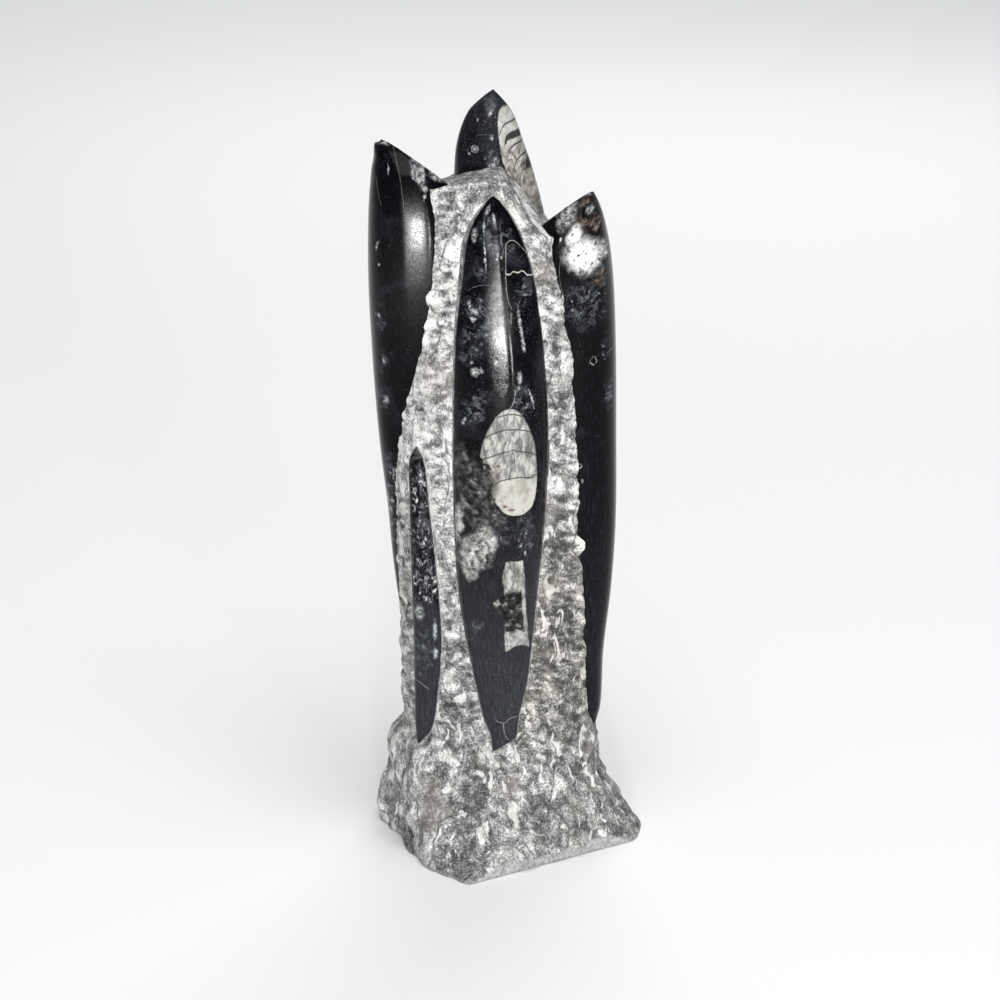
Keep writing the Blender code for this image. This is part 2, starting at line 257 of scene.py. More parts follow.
GREY_PATCHES = {
    "front": (
        (-6.6, 232.8, 2.2, 2.0, 15), (-8.5, 220.0, 4.2, 4.6, 20), (-10.2, 208.0, 3.6, 5.6, 0),
        (-12.2, 210.8, 1.6, 1.9, 0), (-5.6, 213.0, 2.4, 4.0, 0), (-12.4, 202.0, 2.2, 2.8, 0),
        (-8.7, 97.4, 1.9, 3.0, 10), (-9.4, 183.0, 4.4, 6.0, 30), (1.0, 243.0, 3.4, 7.0, 0),
        (8.4, 186.0, 3.0, 6.0, 0), (8.6, 225.5, 2.6, 5.5, 12), (0.5, 135.0, 4.0, 4.0, 0),
        (9.5, 136.0, 2.6, 9.0, 0), (-4.0, 248.0, 3.0, 6.0, 0),
    ),
    "left": (
        (-44.0, 195.0, 2.4, 4.2, 0), (-44.8, 178.5, 2.4, 4.6, 0), (-42.0, 148.0, 3.0, 7.5, 0),
        (-41.0, 128.0, 3.0, 8.0, 0), (-44.5, 212.0, 1.4, 5.0, 0),
    ),
    "right": (
        (31.5, 219.0, 6.5, 8.0, 0), (41.0, 183.0, 1.6, 5.0, 0), (40.0, 200.6, 1.6, 4.2, 0),
        (36.9, 228.2, 2.6, 4.4, 0), (37.0, 256.0, 2.0, 3.0, 0),
    ),
    "rear": (
        (-8.0, 260.0, 5.0, 4.0, 0), (-2.6, 267.0, 2.4, 5.0, 0), (-3.0, 288.5, 2.4, 3.0, 0),
    ),
    "low_left": (
        (-30.0, 84.0, 3.0, 9.0, 0),
    ),
}
# Broken or etched places in the polish, filled with grey crystals
BARE_PATCHES = {
    "left": ((-29.8, 268.0, 2.2, 5.2, -20), (-27.6, 261.5, 0.7, 3.4, 0), (-22.5, 266.4, 3.6, 1.9, 28)),
    # The middle right-lobe patch is etched crystals, whitened in part as a painted highlight
    "right": ((24.6, 252.0, 2.8, 5.4, 28), (31.0, 236.6, 6.0, 6.4, 0), (38.5, 238.3, 1.5, 3.6, -6)),
    "rear": ((-1.9, 267.6, 1.4, 2.4, 0),),
}
# Painted highlights: white glints on the crystals of the right lobe
PAINTED_GLINTS = {"right": ((30.8, 237.6, 6.0, 5.0, 0), (27.2, 244.6, 2.0, 3.6, 25))}
LINES = {
    "front": (
        ("up", 0.14, 0.35, ((219.9, 4.4), (225.4, 2.6), (231.6, 2.1), (233.6, 2.1))),
        ("up", 0.14, 0.6, ((233.0, 2.1), (237.0, 2.1), (241.5, 2.1), (243.9, 2.5))),
        ("across", 0.14, 0.55, (
            (2.3, 243.6), (3.5, 244.8), (5.1, 244.7), (7.3, 242.7), (9.6, 239.6),
            (11.7, 234.4),
        )),
        ("across", 0.22, 1.0, (
            (2.2, 233.4), (3.6, 232.6), (4.7, 233.6), (6.6, 233.1), (8.0, 233.6), (9.9, 232.0),
            (12.6, 231.5),
        )),
        ("across", 0.12, 0.22, ((-11.6, 226.4), (-9.0, 228.2), (-6.0, 228.9), (-2.5, 228.6))),
        ("up", 0.16, 0.5, ((183.6, 3.6), (185.2, 4.8), (188.0, 5.5), (190.5, 5.6))),
        ("across", 0.16, 0.4, ((-1.9, 60.4), (1.2, 57.2), (4.4, 59.0), (8.0, 58.0))),
        ("up", 0.16, 0.4, ((49.8, 3.4), (53.5, 1.6), (57.0, 1.3))),
        ("up", 0.16, 0.5, ((182.5, 12.6), (186.0, 12.0), (190.5, 10.4))),
    ),
    "left": (
        # Painted highlight along the crease between two flats
        ("up", 0.10, 0.22, (
            (254.1, -35.0), (257.7, -35.4), (266.1, -36.5), (272.0, -37.9), (277.1, -39.5),
        )),
        ("up", 0.10, 0.25, ((255.6, -43.6), (260.0, -44.8), (265.0, -45.5))),
    ),
    "right": (
        ("up", 0.10, 0.2, ((222.0, 24.8), (229.0, 22.0), (237.0, 22.3))),
    ),
    "rear": (
        ("across", 0.12, 0.12, ((-9.0, 277.6), (-5.0, 278.4), (-2.0, 278.0))),
    ),
    "low_left": (
        ("across", 0.16, 0.45, ((-32.5, 70.4), (-30.0, 69.3), (-27.4, 67.5))),
    ),
}
RINGS = {
    "right": ((34.9, 196.7, 1.2, 1.5), (30.1, 156.0, 0.7, 0.9)),
    "rear": ((-9.3, 273.2, 1.2, 1.1),),
}

# The largest fossil, on the front lobe: its edges as (height, across), and its chamber walls
FOSSIL_LEFT = (
    (142.3, 5.2), (143.0, 2.4), (144.4, 0.0), (148.2, -3.9), (153.5, -6.0), (159.3, -6.8), (163.4, -7.4),
    (166.2, -7.3), (171.8, -5.9), (176.5, -3.8), (181.2, -0.7), (183.5, 3.7),
)
FOSSIL_RIGHT = (
    (142.3, 6.0), (143.5, 10.1), (147.2, 12.7), (152.5, 13.6), (158.1, 13.8), (163.8, 13.5), (168.7, 13.0),
    (174.1, 11.4), (177.7, 9.9), (181.4, 7.6), (183.5, 4.0),
)
FOSSIL_WALLS = (
    ((-1.0, 180.2), (1.8, 181.0), (3.7, 181.3), (5.9, 181.0), (8.6, 180.1)),
    ((-7.0, 170.9), (-3.7, 173.5), (0.0, 174.9), (3.3, 175.5), (7.4, 175.3), (12.0, 173.4)),
    ((-7.8, 163.3), (-4.4, 164.8), (-1.1, 166.0), (1.8, 166.9), (3.6, 167.1), (4.8, 167.8), (6.2, 167.2),
     (9.6, 166.7), (14.0, 163.9)),
    ((-1.6, 154.6), (2.6, 156.6), (7.0, 157.1), (11.5, 156.6), (12.6, 157.3), (14.0, 156.6)),
)
FOSSIL_MUD = ((-9.4, 151.0, 6.6, 11.5, 0), (-3.0, 141.5, 6.0, 3.6, -20), (-14.0, 163.0, 2.0, 6.0, 0))
# The dark ring of the tube that ran through its chambers: middle, half width and half height
SIPHUNCLE = (4.7, 164.8, 0.75, 1.85)
FOSSIL_STAINS = (
    (-0.6, 161.6, 0.8, 0.6, 0), (1.9, 146.0, 0.8, 0.6, 0), (-3.0, 145.0, 1.0, 1.3, 20),
    (4.3, 144.6, 1.2, 0.5, 0), (-4.6, 160.4, 0.9, 0.7, 0),
)
CALCITE_CLOUD = (
    (-9.5, 127.0, 5.4, 6.2, 25), (-15.6, 137.5, 1.8, 8.0, 6), (-4.8, 133.6, 3.2, 5.4, -10),
    (-11.8, 120.6, 2.6, 4.0, -10),
)

# The lower fossil on the front lobe, cut lengthwise
TUBE_LEFT = (
    (87.6, 2.2), (93.0, 1.6), (101.0, 1.7), (103.5, -0.6), (105.9, -2.8), (108.8, -1.6), (112.0, 1.3),
    (117.7, 0.9), (121.0, 1.6), (124.2, 2.0),
)
TUBE_RIGHT = ((87.6, 11.2), (96.0, 10.6), (105.6, 9.8), (116.0, 9.4), (124.2, 8.7))

# Stains at the right lobe's tip
TIP_STAINS = (
    (28.4, 247.4, 3.8, 3.8, -20), (34.6, 248.6, 2.4, 2.8, 0), (36.9, 228.4, 2.6, 3.2, 0),
    (31.5, 256.0, 2.4, 1.8, 0),
)

# The fossil on the rear lobe that shows past the ground
REAR_LEFT = (
    (236.0, 12.6), (250.0, 8.4), (261.6, 4.5), (264.2, 2.6), (268.3, 0.8), (275.2, -0.5), (281.1, -1.2),
    (285.0, -1.0), (288.4, 1.1),
)
REAR_WALLS = (
    ((-0.6, 277.2), (0.3, 279.6), (2.1, 281.9), (5.5, 282.8), (9.5, 283.0)),
    ((2.5, 268.0), (3.2, 271.1), (4.7, 273.8), (7.8, 274.9), (12.5, 275.3)),
    ((4.6, 262.0), (5.2, 266.0), (7.0, 269.4), (9.8, 270.8), (13.0, 271.0)),
)
REAR_WEDGE = ((1.5, 273.6), (2.2, 276.0), (3.2, 277.3), (5.4, 277.9), (12.0, 278.2))

# Fossils on the sides that face away from the front, in each lobe's own front:
# the lobe, its bearing, middle across, top, bottom, half width at the bottom, lean, chambers
FAR_FOSSILS = {
    "left": (148.0, 0.5, 216.0, 132.0, 6.4, 4.0, 13.0),
    "right": (34.0, -0.5, 200.0, 104.0, 7.0, -3.0, 14.0),
    "rear": (92.0, 1.0, 232.0, 122.0, 9.6, 3.0, 12.0),
}


class OrthocerasStoneSettings(bpy.types.PropertyGroup):
    """Sizes of the stone's finish, in millimetres."""

    ground_columns: IntProperty(name="Ground columns", description="Points round the ground", default=300)
    ground_rings: IntProperty(name="Ground rings", description="Points up the ground", default=300)
    lobe_columns: IntProperty(name="Lobe columns", description="Points round a lobe", default=112)
    lobe_rings: IntProperty(name="Lobe rings", description="Points up a lobe", default=240)
    lump_size: FloatProperty(name="Lump size", description="Width of the broad lumps", default=15.0)
    lump_depth: FloatProperty(name="Lump depth", description="Their depth on the bands", default=1.2)
    foot_lump_depth: FloatProperty(name="Foot lump depth", description="Depth on the foot", default=3.0)
    chisel_pitch: FloatProperty(name="Chisel pitch", description="Height of a chisel mark", default=2.2)
    chisel_depth: FloatProperty(name="Chisel depth", description="Depth of a chisel mark", default=1.1)
    margin_width: FloatProperty(name="Margin", description="Honed edge round a lobe", default=0.45)
    margin_proud: FloatProperty(name="Margin stands proud", description="Above the ground", default=0.25)


class OrthocerasColourSettings(bpy.types.PropertyGroup):
    """Colours of the stone and of the studio floor."""

    black: FloatVectorProperty(
        name="Black limestone", description="Polished ground colour", subtype="COLOR",
        default=(0.0014, 0.0016, 0.0022),
    )
    haze: FloatVectorProperty(
        name="Blue haze", description="Cloudy patches in the polish", subtype="COLOR",
        default=(0.018, 0.0195, 0.0245),
    )
    calcite: FloatVectorProperty(
        name="Calcite", description="White of the fossils", subtype="COLOR",
        default=(0.44, 0.433, 0.395),
    )
    # The whitest tone of the hewn stone: partly chisel bruising, partly painted light on the crests
    bruised_and_lit: FloatVectorProperty(
        name="Bruised stone", description="White of the chisel marks", subtype="COLOR",
        default=(0.86, 0.85, 0.83),
    )
    broken: FloatVectorProperty(
        name="Broken stone", description="Grey of the broken stone", subtype="COLOR",
        default=(0.155, 0.155, 0.151),
    )
    floor: FloatVectorProperty(
        name="Floor", description="Pale studio floor", subtype="COLOR", default=(0.86, 0.86, 0.86),
    )


class OrthocerasStageSettings(bpy.types.PropertyGroup):
    """Camera and lights."""

    camera_rise: FloatProperty(
        name="Camera rise", description="Angle of the camera above level", subtype="ANGLE",
        default=math.radians(18.0),
    )
    camera_distance: FloatProperty(
        name="Camera distance", description="From the stone's middle", unit="LENGTH", default=1.05,
    )
    view_width: FloatProperty(
        name="View width", description="Width seen at the stone", unit="LENGTH", default=0.386,
    )
    aim_height: FloatProperty(
        name="Aim height", description="Height looked at", unit="LENGTH", default=0.1365,
    )


def towards(bearing):
    """Level direction at a bearing in degrees."""
    angle = math.radians(bearing)
    return Vector((math.cos(angle), math.sin(angle), 0.0))


def smooth(share):
    """Eases a share from 0 to 1."""
    share = min(1.0, max(0.0, share))
    return share * share * (3.0 - 2.0 * share)


def round_table(table, bearing):
    """Value at a bearing in degrees, eased between a closed table's rows."""
    bearing %= 360.0
    rows = [(table[-1][0] - 360.0, table[-1][1]), *table, (table[0][0] + 360.0, table[0][1])]
    for (low, before), (high, after) in zip(rows, rows[1:]):
        if low <= bearing <= high:
            return before + (after - before) * smooth((bearing - low) / (high - low))
    return rows[0][1]


def curve(rows, height):
    """Values at a height, on a smooth curve through the rows. Each row starts with its height."""
    height = min(rows[-1][0], max(rows[0][0], height))
    index = max(i for i in range(len(rows) - 1) if rows[i][0] <= height)
    low, high = rows[index], rows[index + 1]
    before = rows[max(0, index - 1)]
    after = rows[min(len(rows) - 1, index + 2)]
    span = high[0] - low[0]
    t = (height - low[0]) / span
    values = []
    for column in range(1, len(low)):
        rise_low = (high[column] - before[column]) / (high[0] - before[0]) * span
        rise_high = (after[column] - low[column]) / (after[0] - low[0]) * span
        values.append(
            (2 * t**3 - 3 * t**2 + 1) * low[column] + (t**3 - 2 * t**2 + t) * rise_low
            + (3 * t**2 - 2 * t**3) * high[column] + (t**3 - t**2) * rise_high
        )
    return values


# ---------------------------------------------------------------- polished lobes


def flattened(name, offset, height, half_width, half_depth):
    """Pulls a point of a lobe's skin in to the flats that the polishing wheel left."""
    facing = math.radians(LOBES[name][0])
    for bearing, rows in FACETS.get(name, ()):
        cut = curve(rows, height)[0] if rows[0][0] < height < rows[-1][0] else 0.0
        if cut <= 0.0:
            continue
        direction = towards(bearing)
        turn = math.radians(bearing) - facing
        power = LOBE_ROUNDNESS / (LOBE_ROUNDNESS - 1.0)
        reach = (abs(half_width * math.sin(turn)) ** power + abs(half_depth * math.cos(turn)) ** power)
        over = offset.dot(direction) - (reach ** (1.0 / power) - cut)
        if over > 0.0:
            offset = offset - direction * FACET_FLATNESS * over * over / (over + FACET_EDGE)
    return offset


def lobe_point(name, height, turn, wider=0.0):
    """Point on a lobe's skin at a height, turned round its middle line."""
    bearing, sections = LOBES[name]
    middle_x, middle_y, half_width, half_depth = curve(sections, height)
    half_width += wider * smooth(half_width / 3.0)
    outward = towards(bearing)
    sideways = Vector((-outward.y, outward.x, 0.0))
    power = 2.0 / LOBE_ROUNDNESS
    across = math.copysign(abs(math.cos(turn)) ** power, math.cos(turn)) * half_width
    out = math.copysign(abs(math.sin(turn)) ** power, math.sin(turn)) * half_depth
    offset = flattened(name, sideways * across + outward * out, height, half_width, half_depth)
    return Vector((middle_x, middle_y, height)) + offset


def skin_gap(name, point):
    """About how far a point is outside a lobe's skin, in millimetres."""
    bearing, sections = LOBES[name]
    if not sections[0][0] < point.z < sections[-1][0]:
        return FAR_AWAY
    middle_x, middle_y, half_width, half_depth = curve(sections, point.z)
    facing = math.radians(bearing)
    offset = Vector((point.x - middle_x, point.y - middle_y))
    across = offset.y * math.cos(facing) - offset.x * math.sin(facing)
    out = offset.x * math.cos(facing) + offset.y * math.sin(facing)
    across = abs(across) / max(LEAST_HALF, half_width)
    out = abs(out) / max(LEAST_HALF, half_depth)
    share = (across ** LOBE_ROUNDNESS + out ** LOBE_ROUNDNESS) ** (1.0 / LOBE_ROUNDNESS)
    return offset.length * (1.0 - 1.0 / max(0.01, share))


def break_height(name, turn):
    """Height at which the break across a lobe's tip meets its skin."""
    point, facing = TIP_BREAKS[name]
    low, high = LOBES[name][1][0][0], LOBES[name][1][-1][0]
    for _ in range(BREAK_SEARCHES):
        middle = 0.5 * (low + high)
        if (lobe_point(name, middle, turn) - point).dot(facing) < 0.0:
            low = middle
        else:
            high = middle
    return low


# ---------------------------------------------------------------- rough ground


def column_point(bearing, height):
    """Point on the side of the rough ground above the foot, before its relief."""
    half_width, half_depth, middle_x, middle_y = curve(GROUND_SECTIONS, height)
    angle = math.radians(bearing)
    across = (abs(math.cos(angle)) / half_width) ** GROUND_SQUARENESS
    along = (abs(math.sin(angle)) / half_depth) ** GROUND_SQUARENESS
    reach = (across + along) ** (-1.0 / GROUND_SQUARENESS)
    return Vector((middle_x, middle_y, height)) + towards(bearing) * reach


def sawn_reach(bearing):
    """Distance from the middle to the sawn strip at a bearing, or a long way where it isn't."""
    facing = math.cos(math.radians(bearing - SAWN_BEARING))
    return SAWN_DISTANCE / facing if facing > 0.2 else FAR_AWAY


def strip_height(bearing):
    """Height of the sawn strip's ragged upper edge."""
    wave = noise.noise(towards(bearing) * 6.0 + Vector((0.0, 0.0, 3.0)))
    return SAWN_HEIGHT * (1.0 + 0.5 * wave)


def bare_point(bearing, height):
    """Point on the side of the stone before its relief, foot included, and the share of foot."""
    if height >= FOOT_HEIGHT:
        return column_point(bearing, height), 0.0
    share = 1.0 - height / FOOT_HEIGHT
    angle = math.radians(bearing)
    left = smooth((-math.cos(angle) - 0.2) / 0.6)
    flare = share ** (1.9 - 1.6 * left)
    foot_reach = round_table(FOOT_OUTLINE, bearing)
    point = column_point(bearing, FOOT_HEIGHT).lerp(towards(bearing) * foot_reach, flare)
    point.z = height
    return point, share


def rubble(point, size, fall=0.8, spread=2.2):
    """Broken relief at a point, from about -1 to 1."""
    return noise.fractal(point / size, fall, spread, 3, noise_basis="PERLIN_ORIGINAL")


def relief(settings, point, share):
    """Lumps and chisel marks: how far outwards they stand, and how white they are from chisel bruising,
    with painted light where they stand out and painted shade in their hollows.
    """
    on_foot = smooth(2.0 * share)
    lumps = rubble(point, settings.lump_size, 0.9, 2.1)
    depth = settings.lump_depth + (settings.foot_lump_depth - settings.lump_depth) * on_foot
    chips = rubble(point, CHIP_SIZE)
    pitch = settings.chisel_pitch
    length = 2.4 * pitch
    slanted = Vector((point.x / length, point.y / length, (point.z + 0.45 * abs(point.x)) / pitch))
    marks = smooth(0.5 + 0.95 * noise.noise(slanted) + 0.35 * noise.noise(2.1 * slanted))
    strength = smooth(0.8 + 0.9 * noise.noise(point / HEWN_PATCH_SIZE + Vector((7.0, 1.0, 3.0))))
    strength *= 1.0 - 0.8 * on_foot
    front_gap = skin_gap("front", point)
    side_gap = min(skin_gap("left", point), skin_gap("right", point), skin_gap("rear", point))
    low_gap = skin_gap("low_left", point)
    calm = smooth((front_gap - 0.6) / 4.0) * smooth((low_gap + 0.3) / 3.0)
    calm *= 0.45 + 0.55 * smooth(side_gap / 5.0)
    lump = 0.0
    if point.y < 0.0:
        for across, height, radius, proud in LUMPS:
            lump += proud * smooth(1.3 - math.hypot(point.x - across, point.z - height) / radius)
    outward = depth * lumps * (0.3 + 0.7 * calm) + lump
    plain = smooth((point.x - 2.0) / 10.0) * smooth((140.0 - point.z) / 30.0) * smooth(2.0 - point.y)
    hewn = 0.5 * chips + settings.chisel_depth * strength * (marks - 0.4)
    outward += calm * hewn * (1.0 - 0.55 * plain)
    near_any = smooth(1.0 - min(front_gap, side_gap, low_gap) / 4.5) * (1.0 - on_foot)
    # Whiter where the relief stands out, darker in its hollows: partly chisel bruising, partly painted
    # light and shade
    bruise_light_and_shade = 0.7 * (marks - 0.45) * strength + 0.16 * near_any + 0.45 * chips + 0.22 * lumps + 0.4 * lump
    return outward * smooth(8.0 * (1.0 - share)), bruise_light_and_shade


def side_point(settings, bearing, height):
    """Point on the rough side of the stone, and how much of a crest is there."""
    point, share = bare_point(bearing, height)
    shift, crest = relief(settings, point, share)
    return point + towards(bearing) * shift, crest


def crown_point(settings, bearing, inward):
    """Point on the ground's top, from its middle, where inward is 0, to its upper edge at 1."""
    rim = round_table(GROUND_RIM, bearing)
    edge, crest = side_point(settings, bearing, rim)
    point = CROWN_MIDDLE.lerp(edge, inward)
    roof = CROWN_HEIGHT - CROWN_SLOPE * max(0.0, point.x - CROWN_BREAK_X)
    roof -= CROWN_LEFT_SLOPE * max(0.0, CROWN_LEFT_X - point.x)
    point.z = roof + (rim - roof) * inward ** 4
    chips = rubble(point, CHIP_SIZE)
    lumps = noise.noise(point / settings.lump_size)
    point.z += (settings.lump_depth * lumps + 0.6 * chips) * (1.0 - inward ** 4)
    return point, crest * inward + 0.5 * chips * (1.0 - inward)


def ground_point(settings, bearing, ring):
    """Point of the ground's grid, with how much of a crest and how much of a saw cut is there."""
    rings = settings.ground_rings
    if ring <= UNDERSIDE_RINGS:
        edge = side_point(settings, bearing, 0.0)[0]
        reach = min(edge.length, sawn_reach(bearing))
        return edge.normalized() * reach * (ring / UNDERSIDE_RINGS), 0.0, 1.0
    if ring > rings - TOP_RINGS:
        return *crown_point(settings, bearing, (rings - ring) / TOP_RINGS), 0.0
    rise = (ring - UNDERSIDE_RINGS) / (rings - TOP_RINGS - UNDERSIDE_RINGS)
    height = round_table(GROUND_RIM, bearing) * rise
    point, crest = side_point(settings, bearing, height)
    ragged = strip_height(bearing)
    flat = Vector((point.x, point.y, 0.0))
    reach = sawn_reach(bearing)
    if height < ragged and flat.length > reach:
        point = flat.normalized() * reach + Vector((0.0, 0.0, height))
        return point, crest * 0.2, smooth((ragged - height) / 0.8)
    return point, crest, 0.0


# ---------------------------------------------------------------- making pieces


def crowded(ring_number, rings):
    """Share of a length at a ring, with the rings closer together towards both ends."""
    return 0.5 - 0.5 * math.cos(math.pi * ring_number / rings)


def wrap_sphere(name, columns, rings, place, layers=()):
    """New piece from a sphere whose points are placed by their turn and their ring."""
    mesh = bpy.data.meshes.new(name)
    shape = bmesh.new()
    bmesh.ops.create_uvsphere(shape, u_segments=columns, v_segments=rings, radius=1.0)
    stored = [shape.verts.layers.float.new(layer) for layer in layers]
    for vertex in shape.verts:
        share = 1.0 - math.acos(max(-1.0, min(1.0, vertex.co.z))) / math.pi
        point, *values = place(math.atan2(vertex.co.y, vertex.co.x), round(share * rings))
        vertex.co = (point - MIDDLE) * MM
        for layer, value in zip(stored, values):
            vertex[layer] = value
    bmesh.ops.recalc_face_normals(shape, faces=shape.faces)
    for face in shape.faces:
        face.smooth = True
    shape.to_mesh(mesh)
    shape.free()
    piece = bpy.data.objects.new(name, mesh)
    bpy.context.scene.collection.objects.link(piece)
    return piece


def make_lobe(name, settings):
    """A polished lobe. Where its tip is broken off, its last rings cross the break."""
    sections = LOBES[name][1]
    bottom, top = sections[0][0], sections[-1][0]
    rings = settings.lobe_rings
    break_rings = BREAK_RINGS if name in TIP_BREAKS else 0
    skin_rings = rings - break_rings
    edges = {}

    def whole(turn, ring_number):
        height = bottom + (top - bottom) * crowded(ring_number, rings)
        return lobe_point(name, height, turn), 0.0

    def broken(turn, ring_number):
        key = round(turn, 6)
        if key not in edges:
            edges[key] = break_height(name, turn)
        along = min(1.0, ring_number / skin_rings)
        share = 0.5 * along + 0.5 * along * along
        edge = lobe_point(name, bottom + (edges[key] - bottom) * share, turn)
        if ring_number <= skin_rings:
            return edge, 0.0
        inward = (rings - ring_number) / break_rings
        on_break, facing = TIP_BREAKS[name]
        middle = Vector(curve(sections, on_break.z - 8.0)[:2] + [0.0])
        middle.z = on_break.z - (middle - on_break).to_2d().dot(facing.to_2d()) / facing.z
        point = middle.lerp(edge, inward)
        chips = rubble(point, BREAK_CHIP_SIZE)
        point.z += (0.9 * chips - 0.5) * smooth(5.0 * (1.0 - inward))
        return point, smooth(3.0 * (1.0 - inward) + 0.3)

    place = broken if break_rings else whole
    return wrap_sphere(name + "_lobe", settings.lobe_columns, rings, place, ("broken",))


def make_margin(name, settings):
    """The honed edge round a lobe: a slightly wider lobe cut off level with the ground."""
    sections = LOBES[name][1]
    bottom, top = sections[0][0] - 2.0, sections[-1][0] + 1.0

    def place(turn, ring_number):
        height = bottom + (top - bottom) * crowded(ring_number, settings.lobe_rings)
        point = lobe_point(name, height, turn, settings.margin_width)
        bearing = math.degrees(math.atan2(point.y, point.x))
        reach = bare_point(bearing, height)[0].to_2d().length + settings.margin_proud
        flat = point.to_2d()
        if flat.length > reach:
            flat = flat.normalized() * reach
        point = flat.to_3d()
        point.z = height
        return point, skin_gap(name, point)

    return wrap_sphere(name + "_margin", settings.lobe_columns, settings.lobe_rings, place, ("gap",))


# ---------------------------------------------------------------- drawing in node trees


def is_linked(value):
    """Whether a value comes from a node."""
    return isinstance(value, bpy.types.NodeSocket)


def feed(node, inputs):
    """Gives a node's inputs, by name or number, values that are plain or come from a node."""
    for name, value in inputs.items():
        if is_linked(value):
            node.id_data.links.new(value, node.inputs[name])
        else:
            node.inputs[name].default_value = value


def new_node(kind, inputs, **choices):
    """New node in the tree of the first input that comes from a node."""
    tree = next(value for value in inputs.values() if is_linked(value)).id_data
    node = tree.nodes.new(kind)
    for name, choice in choices.items():
        setattr(node, name, choice)
    feed(node, inputs)
    return node


def maths(operation, *values):
    """Result of a sum on numbers."""
    return new_node("ShaderNodeMath", dict(enumerate(values)), operation=operation).outputs[0]


def vectors(operation, *values, scale=None):
    """Result of a sum on places."""
    inputs = dict(enumerate(values))
    if scale is not None:
        inputs["Scale"] = scale
    return new_node("ShaderNodeVectorMath", inputs, operation=operation).outputs[0]


def shade(value, low, high, out_low=0.0, out_high=1.0, kind="SMOOTHSTEP"):
    """Eases a value between two limits."""
    inputs = {
        "Value": value, "From Min": low, "From Max": high, "To Min": out_low, "To Max": out_high,
    }
    return new_node("ShaderNodeMapRange", inputs, interpolation_type=kind).outputs["Result"]


def grain(where, scale, detail=3.0, roughness=0.55, distortion=0.0):
    """Noise whose scale is in turns a millimetre."""
    inputs = {
        "Vector": where, "Scale": scale, "Detail": detail,
        "Roughness": roughness, "Distortion": distortion,
    }
    return new_node("ShaderNodeTexNoise", inputs).outputs["Fac"]


def cells(where, scale, feature="F1"):
    """Distance to the nearest of scattered points, or to the border between them."""
    inputs = {"Vector": where, "Scale": scale}
    return new_node("ShaderNodeTexVoronoi", inputs, feature=feature).outputs["Distance"]


def blend(factor, first, second, kind="MIX"):
    """One colour laid over another."""
    under, over = (
        value if is_linked(value) else (*value[:3], 1.0) for value in (first, second)
    )
    inputs = {0: factor, 6: under, 7: over}
    return new_node("ShaderNodeMix", inputs, data_type="RGBA", blend_type=kind).outputs[2]


def ramp(value, stops):
    """Colour ramp from (position, colour) stops."""
    node = new_node("ShaderNodeValToRGB", {"Fac": value})
    elements = node.color_ramp.elements
    while len(elements) < len(stops):
        elements.new(1.0)
    for element, (position, colour) in zip(elements, stops):
        element.position = position
        element.color = (*colour[:3], 1.0)
    return node.outputs["Color"]


def split(where):
    """Across, depth and height of a place."""
    return tuple(new_node("ShaderNodeSeparateXYZ", {0: where}).outputs)


def stone_space(tree, bearing=-90.0):
    """Place in millimetres in the stone's own space, turned so that a bearing faces -Y."""
    source = tree.nodes.new("ShaderNodeTexCoord")
    inputs = {
        "Vector": vectors("ADD", source.outputs["Object"], tuple(MIDDLE * MM)),
        "Rotation": (0.0, 0.0, -math.radians(bearing + 90.0)),
        "Scale": (1.0 / MM, 1.0 / MM, 1.0 / MM),
    }
    return new_node("ShaderNodeMapping", inputs).outputs["Vector"]


def level(where):
    """The same place with its depth left out."""
    return vectors("MULTIPLY", where, (1.0, 0.0, 1.0))


def leaning(where, behind):
    """The same place with its depth left out, sliding across and up once it lies behind a depth."""
    over = maths("MAXIMUM", maths("SUBTRACT", split(where)[1], behind), 0.0)
    return vectors("ADD", level(where), vectors("SCALE", (0.45, 0.0, 0.6), scale=over))


def stirred(where, amount, scale):
    """The same place, pushed about by noise so that what is drawn there has ragged edges."""
    elsewhere = vectors("ADD", where, (31.7, 11.3, 57.1))
    pushes = [
        maths("MULTIPLY_ADD", grain(place, scale, 3.0, 0.6), amount, -0.5 * amount)
        for place in (where, elsewhere)
    ]
    push = new_node("ShaderNodeCombineXYZ", {0: pushes[0], 2: pushes[1]})
    return vectors("ADD", where, push.outputs[0])


def nearness(where, x, z, width, height, turn=0.0):
    """1 at a place, falling evenly to 0 at the edge of an oval round it."""
    oval = {
        "Vector": where, "Location": (x, 0.0, z), "Scale": (width, 1.0, height),
        "Rotation": (0.0, math.radians(turn), 0.0),
    }
    place = new_node("ShaderNodeMapping", oval, vector_type="TEXTURE")
    inputs = {"Vector": place.outputs["Vector"]}
    return new_node("ShaderNodeTexGradient", inputs, gradient_type="SPHERICAL").outputs["Fac"]


def patch(where, x, z, width, height, turn=0.0, edge=0.35):
    """Mask of a soft oval."""
    wide = 1.0 + edge
    return shade(nearness(where, x, z, wide * width, wide * height, turn), 0.0, 2.0 * edge / wide)


def hoop(where, x, z, width, height, line):
    """Mask of a thin oval line."""
    near = nearness(where, x, z, 2.0 * width, 2.0 * height)
    off = maths("ABSOLUTE", maths("MULTIPLY_ADD", near, -2.0, 1.0))
    return shade(off, line / min(width, height), 0.3 * line / min(width, height))


def graph(value, points):
    """Reads a value from a smooth curve drawn through (input, output) points."""
    points = sorted(points)
    low, high = points[0][0], points[-1][0]
    least = min(point[1] for point in points)
    span = max(point[1] for point in points) - least
    along = shade(value, low, high, kind="LINEAR")
    node = new_node("ShaderNodeFloatCurve", {"Value": along})
    line = node.mapping.curves[0]
    places = [((given - low) / (high - low), (output - least) / span) for given, output in points]
    line.points[0].location = places[0]
    line.points[1].location = places[-1]
    for place in places[1:-1]:
        line.points.new(*place)
    node.mapping.update()
    return maths("MULTIPLY_ADD", node.outputs["Value"], span, least)


